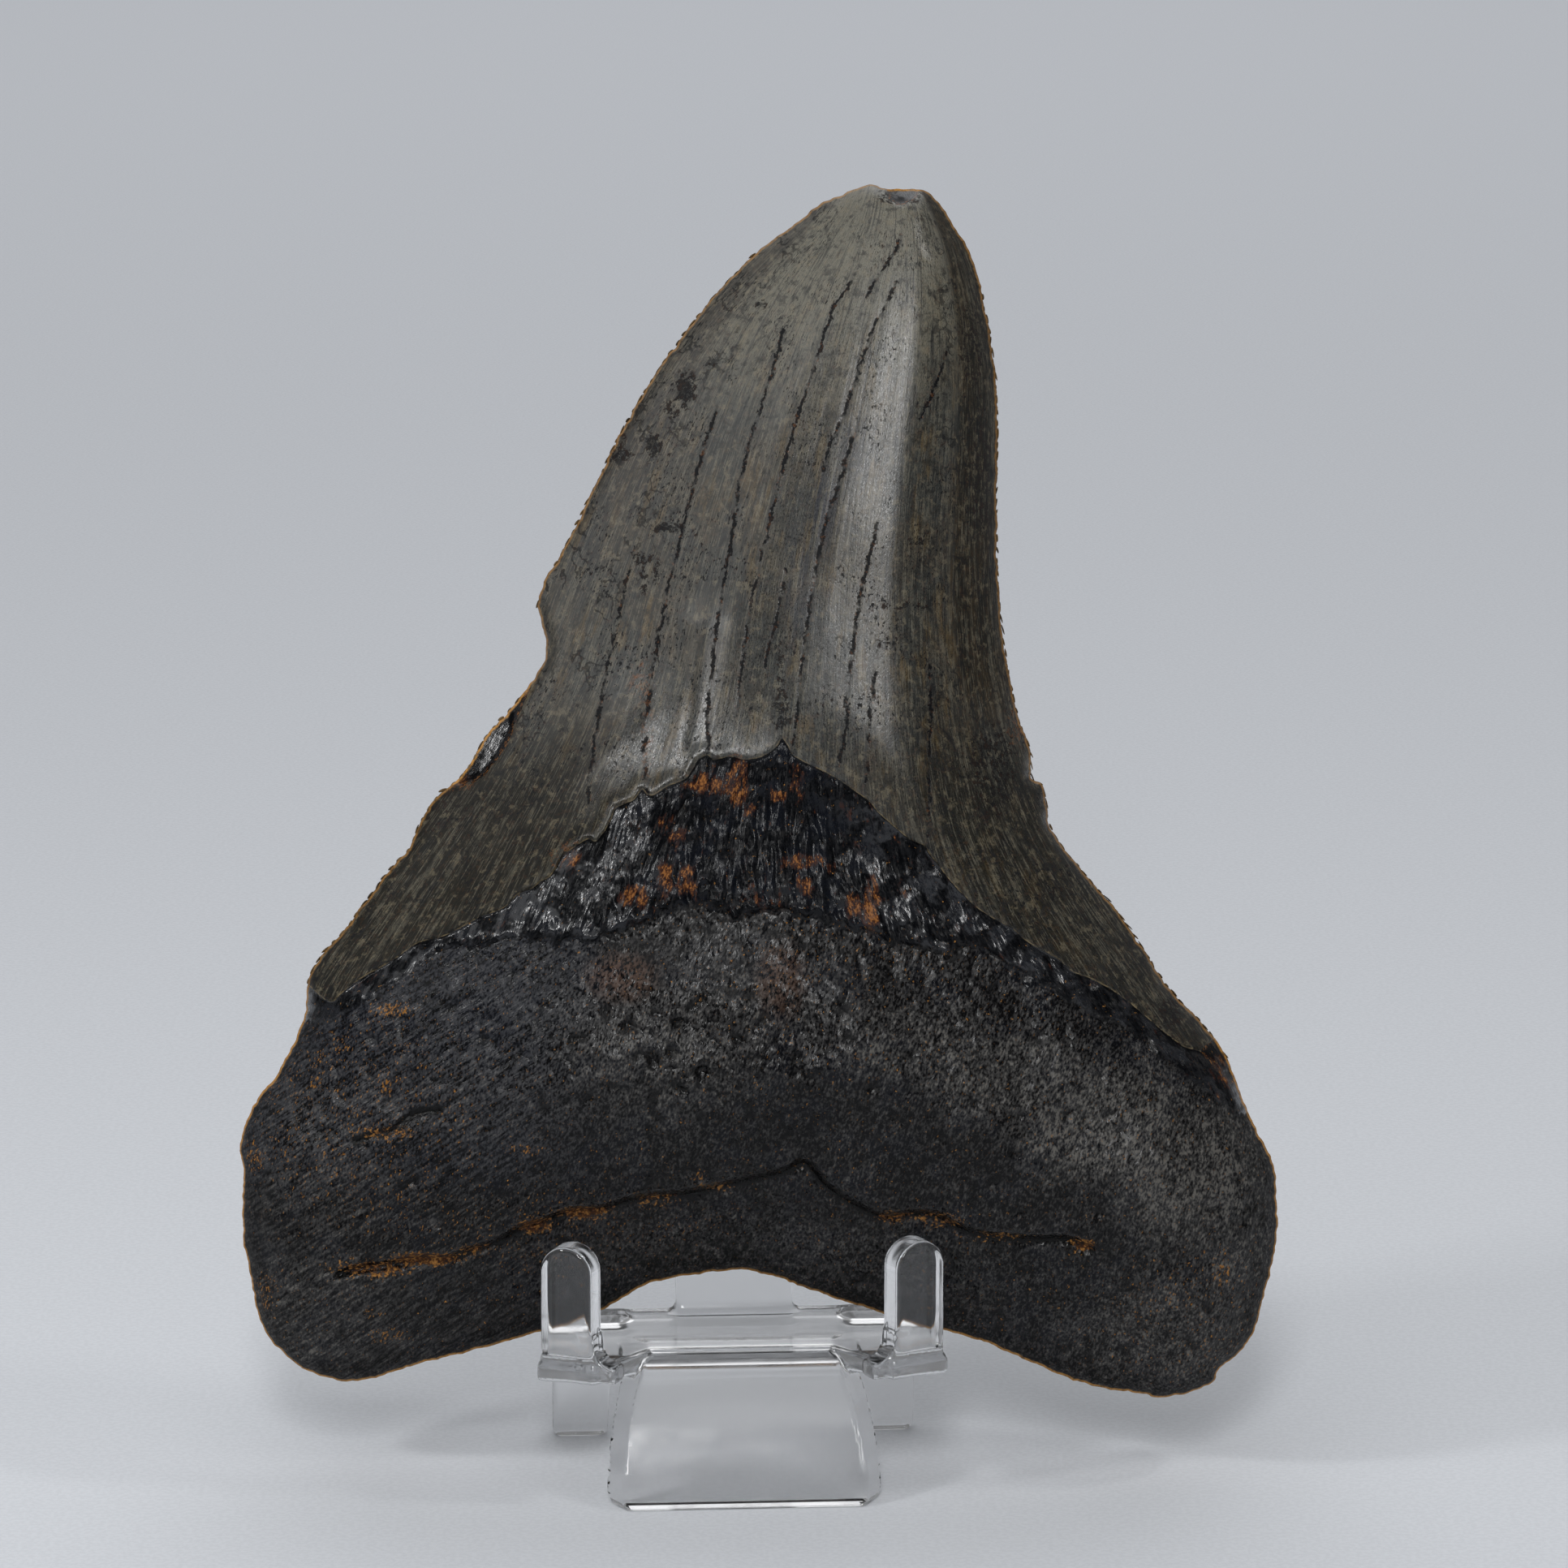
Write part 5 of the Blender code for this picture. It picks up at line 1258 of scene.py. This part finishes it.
# %% Ribbed band layer
def band_layer(m):
    flow = m.vector("flow")
    ribs = m.noise((0.42, 2.6), flow, detail=3.0, rough=0.6)
    threads = m.noise((0.2, 1.1), flow, detail=2.0, rough=0.6, seed=2.0)
    fine = m.noise((0.15, 0.3), flow, detail=2.0, rough=0.7)
    patches = m.noise(2.6, detail=3.0, rough=0.6)
    tone = m.sum(m.times(ribs, 0.45), m.times(threads, 0.3), m.times(fine, 0.25))
    base = m.between(m.rise(tone, 0.4, 0.6), "#040507", "#131417")
    crest = m.rise(m.value("ribbing"), -0.25, 0.6)
    # Painted shade in the grooves between the ribs: black where the ribs are lowest.
    base = m.over(base, "#020203", m.times(m.rise(crest, 0.7, 0.0), 0.85))
    base = m.over(base, "#0c111b", m.rise(patches, 0.45, 0.62, 0.0, 0.5))
    # Grey on the rib crests where the tone is light: partly dust and partly a painted sheen.
    dust_and_sheen = m.times(m.rise(tone, 0.5, 0.62), m.rise(patches, 0.54, 0.42), crest)
    base = m.over(base, "#4a4845", m.times(dust_and_sheen, 0.2))
    blotch = m.noise((0.8, 1.5), flow, detail=4.0, rough=0.7, seed=8.0)
    torn = m.sum(m.value("rust"), m.swing(threads, 1.6), m.swing(blotch, 3.6))
    stain = m.rise(torn, 0.4, 0.9)
    fresh = m.rise(m.sum(torn, m.swing(fine, 1.6)), 0.85, 1.3)
    base = m.over(base, "#36190f", m.times(stain, 0.8))
    rust = m.between(m.rise(fine, 0.4, 0.6), "#6e4322", "#a06a38")
    base = m.mix(m.times(fresh, 0.75), base, rust)
    gloss = m.pick(m.rise(fine, 0.42, 0.6), 0.16, 0.36)
    gloss = m.pick(stain, gloss, 0.6)
    middle = m.rise(m.absolute(m.sum(m.value("share"), -0.52)), 0.22, 0.1)
    shine = m.pick(m.most(m.times(middle, 0.8), m.rise(patches, 0.54, 0.46)), 0.4, 0.06)
    depth = m.sum(m.times(fine, 0.005), m.times(threads, 0.03), m.times(ribs, 0.07))
    return base, gloss, depth, shine


# %% Root layer
def root_layer(m):
    plane = m.vector("plane")
    left = m.rise(m.value("share"), 0.38, 0.24)
    grains = m.noise((0.22, 0.4), plane, angle=-GRAIN_SLANT, detail=2.0, rough=0.6)
    clumps = m.noise((0.55, 1.0), plane, angle=-GRAIN_SLANT, detail=3.0, rough=0.6)
    fibres = m.noise((0.3, 1.9), plane, angle=FIBRE_SLANT - pi / 2, detail=3.0, rough=0.6)
    patches = m.noise(4.5, detail=4.0, rough=0.6)
    knobs = m.noise((0.5, 0.9), plane, angle=-GRAIN_SLANT, detail=1.0, seed=12.0)
    tone = m.pick(left, m.sum(m.times(grains, 0.6), m.times(clumps, 0.4)),
                  m.sum(m.times(grains, 0.45), m.times(fibres, 0.55)))
    base = m.between(m.rise(tone, 0.42, 0.6), "#010102", "#191818")
    base = m.over(base, "#0a0d15", m.rise(patches, 0.46, 0.6, 0.0, 0.55))
    blue_left = m.times(left, m.rise(m.value("level"), 18.0, 26.0), m.rise(tone, 0.42, 0.56))
    base = m.over(base, "#272b35", m.times(blue_left, 0.5))
    dusted = m.sum(tone, m.times(m.value("pale"), 0.14), m.swing(patches, 0.16),
                   m.rise(m.value("level"), 20.0, 12.0, 0.0, 0.012))
    base = m.over(base, "#4b4a49", m.rise(dusted, 0.45, 0.72, 0.0, 0.65))
    base = m.over(base, "#827e76", m.rise(dusted, 0.62, 0.74, 0.0, 0.35))
    # Painted shade in the pits: darker where the relief sinks below the surface.
    base = m.over(base, "#020203", m.rise(m.value("relief"), -0.02, -0.3, 0.0, 0.75))
    brown = m.times(m.value("rust"), m.rise(tone, 0.42, 0.56))
    base = m.over(base, "#5b3f2e", m.times(brown, 0.9))
    speck = m.noise((0.19, 0.42), plane, angle=-GRAIN_SLANT, detail=2.0, rough=0.6, seed=4.0)
    ochre = m.rise(m.sum(m.times(m.value("ochre"), 0.16), speck, m.swing(patches, 0.1)), 0.69, 0.75)
    base = m.mix(m.times(ochre, 0.85), base, m.between(fibres, "#6b4317", "#b07a35"))
    gloss = m.pick(m.rise(grains, 0.4, 0.6), 0.2, 0.42)
    gloss = m.pick(m.rise(m.value("rim"), 4.0, 1.0), gloss, 0.75)
    depth = m.sum(m.times(grains, 0.015), m.times(m.pick(left, knobs, fibres), 0.1),
                  m.times(m.value("coarse"), knobs, 0.15))
    return base, gloss, depth


# %% Lay the three over each other
def fossil_tooth():
    m = Layers("worn enamel and granular fossil root")
    ragged = m.swing(m.noise(0.7, detail=4.0, rough=0.65), 0.6)
    root, root_gloss, root_depth = root_layer(m)
    band, band_gloss, band_depth, band_shine = band_layer(m)
    enamel, enamel_gloss, enamel_depth, enamel_shine = enamel_layer(m)
    on_band = m.rise(m.sum(m.value("band"), m.times(ragged, 4.0)), -0.3, 0.35)
    on_enamel = m.rise(m.sum(m.value("enamel"), m.times(ragged, 0.3)), -0.04, 0.04)
    chipped = m.rise(m.sum(m.value("broken"), m.times(ragged, 0.6)), 0.0, 0.15)
    on_enamel = m.times(on_enamel, m.rise(chipped, 1.0, 0.0))
    under_edge = m.rise(m.value("enamel"), -0.3, -0.03, 0.0, 0.6)

    base = m.mix(on_band, root, band)
    # Painted shadow on the band just under the raised edge of the enamel.
    base = m.over(base, "#050608", under_edge)
    # Painted shadow along the ragged foot of the band, under its raised edge.
    foot = m.rise(m.absolute(m.sum(m.value("band"), m.times(ragged, 1.6))), 0.2, 0.04)
    base = m.over(base, "#040405", m.times(foot, 0.35))
    crumb = m.noise(0.4, detail=3.0, rough=0.7)
    # Painted shade: black deep in the fold and the upper crack.
    near_fold = m.sum(m.least(m.value("fold"), m.value("upper")), m.swing(crumb, 1.0))
    base = m.over(base, "#020202", m.rise(near_fold, 0.6, 0.25, 0.0, 0.97))
    sandy = m.rise(m.sum(m.value("sediment"), m.swing(crumb, 3.4)), 0.55, 0.85)
    base = m.mix(sandy, base, m.between(m.rise(crumb, 0.5, 0.68), "#3f2411", "#a0713a"))
    base = m.mix(on_enamel, base, enamel)
    ragged_chip = m.times(chipped, m.rise(m.value("broken"), 0.5, 0.15), m.rise(crumb, 0.5, 0.62))
    base = m.over(base, "#8a5a2c", m.times(ragged_chip, 0.85))
    rim_glow = m.times(m.rise(m.value("rim"), 0.32, 0.12), m.rise(crumb, 0.35, 0.55, 0.3, 0.95),
                       m.pick(on_enamel, 1.0, 0.55))
    base = m.over(base, "#bd8a48", rim_glow)

    gloss = m.pick(on_enamel, m.pick(on_band, root_gloss, band_gloss), enamel_gloss)
    depth = m.pick(on_enamel, m.pick(on_band, root_depth, band_depth), enamel_depth)
    gloss = m.pick(m.most(sandy, rim_glow), gloss, 0.85)
    m.feed(Base_Color=base, Roughness=gloss, Normal=m.bump(depth), IOR=1.62)
    m.feed(Specular_IOR_Level=m.pick(on_enamel, m.pick(on_band, 0.14, band_shine), enamel_shine))
    return m.material


tooth_finish = fossil_tooth()
tooth_mesh.materials.append(tooth_finish)
print("nodes in the tooth's material:", len(tooth_finish.node_tree.nodes))

# %% [markdown]
# ## Serrations and crumbs, made with the tree
# The knobs sit on the outline itself, half sunk, from just under the worn tip down to the ends of the
# enamel. The crumbs lie in the fold where sediment is stored on the skin. Each gets its own plain finish:
# the knobs the brown of the enamel's margin, the crumbs sand stained by iron.

# %% Finishes of the small lumps
def margin_enamel():
    m = Layers("brown enamel of the cutting edge")
    cloud = m.noise(2.5, detail=3.0)
    fine = m.noise(0.3, detail=2.0)
    base = m.between(m.rise(cloud, 0.35, 0.65), "#332a1c", "#6e5a3c")
    m.feed(Base_Color=base, Roughness=m.rise(fine, 0.3, 0.7, 0.35, 0.5), IOR=1.5,
           Normal=m.bump(m.times(fine, 0.03)))
    return m.material


def stained_sand():
    m = Layers("iron-stained sediment")
    cloud = m.noise(0.6, detail=2.0)
    fine = m.noise(0.15, detail=2.0)
    base = m.between(m.rise(cloud, 0.38, 0.62), "#2c180d", "#8f5c2a")
    m.feed(Base_Color=base, Roughness=m.rise(fine, 0.3, 0.7, 0.7, 0.95), Normal=m.bump(m.times(fine, 0.05)))
    return m.material


# %% Place the lumps
def line_on_face(points, step, sink):
    """A line of the outline's plane, lifted onto the inner face and sunk a little into it."""
    path = curve_through(points, step)
    height, _ = inner_face(path, rim_distance(path))
    return in_frame(path, -(height - sink))


def part_of(line, low, high):
    """The stretch of a line between two places across the tooth."""
    path = curve_through(line, 0.2)
    return [tuple(point) for point in path if low <= point[0] <= high]


edge_lines = [in_frame(curve_through(line, 0.3), 0.0)
              for line in (RIGHT_EDGE[2:], LEFT_EDGE[:10], LEFT_EDGE[13:-2])]
serrations = lumps_along("serrations", edge_lines, margin_enamel(), Pitch=1.1 * MM,
                         Size=(0.09 * MM, 0.28 * MM, 0.9 * MM), Scatter=0.08 * MM, Turn=0.08,
                         Detail=2, Seed=4)
sandy_places = [(-39.0, -29.0), (-28.0, -25.5), (-22.8, -19.6), (-18.8, -13.5), (-11.0, -7.5),
                (11.5, 14.5), (15.5, 19.0), (30.0, 31.4)]
fold_lines = [line_on_face(part_of(FOLD, low, high), 0.2, 0.1) for low, high in sandy_places]
crumbs = lumps_along("sediment_crumbs", fold_lines, stained_sand(), Pitch=0.14 * MM,
                     Size=(0.28 * MM, 0.24 * MM, 0.32 * MM), Scatter=0.22 * MM, Turn=1.0,
                     Detail=2, Seed=9)

# %% [markdown]
# ## Clear acrylic
# The easel has no colour of its own. What shows it is bent light: bright and dark lines at its rounded
# edges. So the finish is plain transmission with acrylic's own refraction, a trace of absorption, and the
# faint waviness and haze that a mould leaves. Anything more, such as a tint or a mask, would look like a
# sticker.

# %% The easel's finish
def clear_acrylic():
    m = Layers("clear polished acrylic")
    wave = m.noise(6.0, detail=1.0)
    haze = m.rise(m.noise(1.5, detail=3.0), 0.35, 0.7, 0.08, 0.14)
    m.feed(Base_Color=(1.0, 1.0, 1.0, 1.0), Roughness=haze, IOR=1.49, Normal=m.bump(m.times(wave, 0.02)))
    m.feed(**{"Transmission_Weight": 1.0})
    absorb = m.tree.nodes.new("ShaderNodeVolumeAbsorption")
    absorb.inputs["Color"].default_value = (0.9, 0.95, 1.0, 1.0)
    absorb.inputs["Density"].default_value = 4.0
    m.tree.links.new(absorb.outputs["Volume"], m.tree.nodes["Material Output"].inputs["Volume"])
    return m.material


easel_mesh.materials.append(clear_acrylic())
for piece, slot in ((tooth, "fossil tooth"), (serrations, "fossil tooth"), (crumbs, "fossil tooth"),
                    (easel, "clear acrylic")):
    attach(piece, "root")
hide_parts("tooth")
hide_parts("stand")

# %% [markdown]
# ## Floor, light and camera
# The tooth stands on pale paper that runs far back. A large softbox overhead, a little to the left, does
# most of the work, and a narrow one in front draws the highlight down the ridge. It stays just outside
# the angle at which the easel's foot would mirror it. Two small lamps cast the faint shadows to the right
# and the left. A light above the far floor keeps the background even and gives the clear easel something
# to bend. The camera has a long lens and looks down a little, so that the leaning tooth faces it squarely.

# %% Paper floor
def pale_paper():
    m = Layers("matt background paper")
    fibres = m.noise(0.5, detail=2.0)
    base = m.between(m.rise(fibres, 0.35, 0.65), "#d3d6db", "#d9dce1")
    m.feed(Base_Color=base, Roughness=0.85)
    return m.material


FLOOR_RADIUS = 6.0
floor_mesh = bmesh.new()
bmesh.ops.create_circle(floor_mesh, cap_ends=True, segments=128, radius=FLOOR_RADIUS)
bmesh.ops.translate(floor_mesh, verts=floor_mesh.verts[:], vec=(0, 0, -0.05 * MM))
floor_data = bpy.data.meshes.new("paper floor")
floor_mesh.to_mesh(floor_data)
floor_mesh.free()
floor_data.materials.append(pale_paper())
floor = show_object("paper floor", floor_data)

# %% Soft lights
def soft_light(name, azimuth, elevation, distance, size, watts, tint, aim=(0, 0, 0.06)):
    """An area light of a width and height; azimuth 0 is in front and grows to the right."""
    data = bpy.data.lights.new(name, "AREA")
    data.shape = "RECTANGLE"
    data.size, data.size_y = size
    data.energy = watts
    data.color = tint
    light = bpy.data.objects.new(name, data)
    bpy.context.scene.collection.objects.link(light)
    a, e = radians(azimuth), radians(elevation)
    way = Vector((sin(a) * cos(e), -cos(a) * cos(e), sin(e)))
    light.location = Vector(aim) + distance * way
    light.rotation_euler = way.to_track_quat("Z", "Y").to_euler()
    return light


lights = [
    soft_light("left lamp", -64, 34, 0.45, (0.06, 0.06), 0.4, (1.0, 1.0, 1.0)),
    soft_light("right lamp", 87, 52, 0.6, (0.06, 0.06), 0.33, (1.0, 0.99, 0.97)),
    soft_light("front softbox", -2.5, 33, 0.9, (0.14, 0.34), 3.1, (1.0, 1.0, 1.0)),
    soft_light("overhead softbox", -34, 68, 1.4, (1.6, 1.2), 4.7, (0.98, 0.99, 1.0)),
    soft_light("back light", 180, 80, 1.2, (2.2, 2.2), 14.4, (0.97, 0.98, 1.0), aim=(0, 1.35, 0)),
]
world = bpy.data.worlds.new("dim studio")
world.use_nodes = True
world.node_tree.nodes["Background"].inputs["Color"].default_value = (0.97, 0.98, 1.0, 1.0)
world.node_tree.nodes["Background"].inputs["Strength"].default_value = 0.17
bpy.context.scene.world = world

# %% Camera
VIEW_ELEVATION = radians(12.5)
VIEW_DISTANCE = 0.6
VIEW_CENTRE = (2.5, 59.1)
AIM = Vector(in_frame(np.array([VIEW_CENTRE]), 0.0)[0])
camera_data = bpy.data.cameras.new("camera")
camera_data.lens = 143.1
camera_data.sensor_width = 36.0
camera_data.clip_start = 0.01
camera_data.clip_end = 20.0
camera = bpy.data.objects.new("camera", camera_data)
bpy.context.scene.collection.objects.link(camera)
camera.location = AIM + VIEW_DISTANCE * Vector((0, -cos(VIEW_ELEVATION), sin(VIEW_ELEVATION)))
camera.rotation_euler = (pi / 2 - VIEW_ELEVATION, 0, 0)
bpy.context.scene.camera = camera
bpy.context.scene.view_settings.view_transform = "Standard"
print("camera at", [round(value, 3) for value in camera.location])
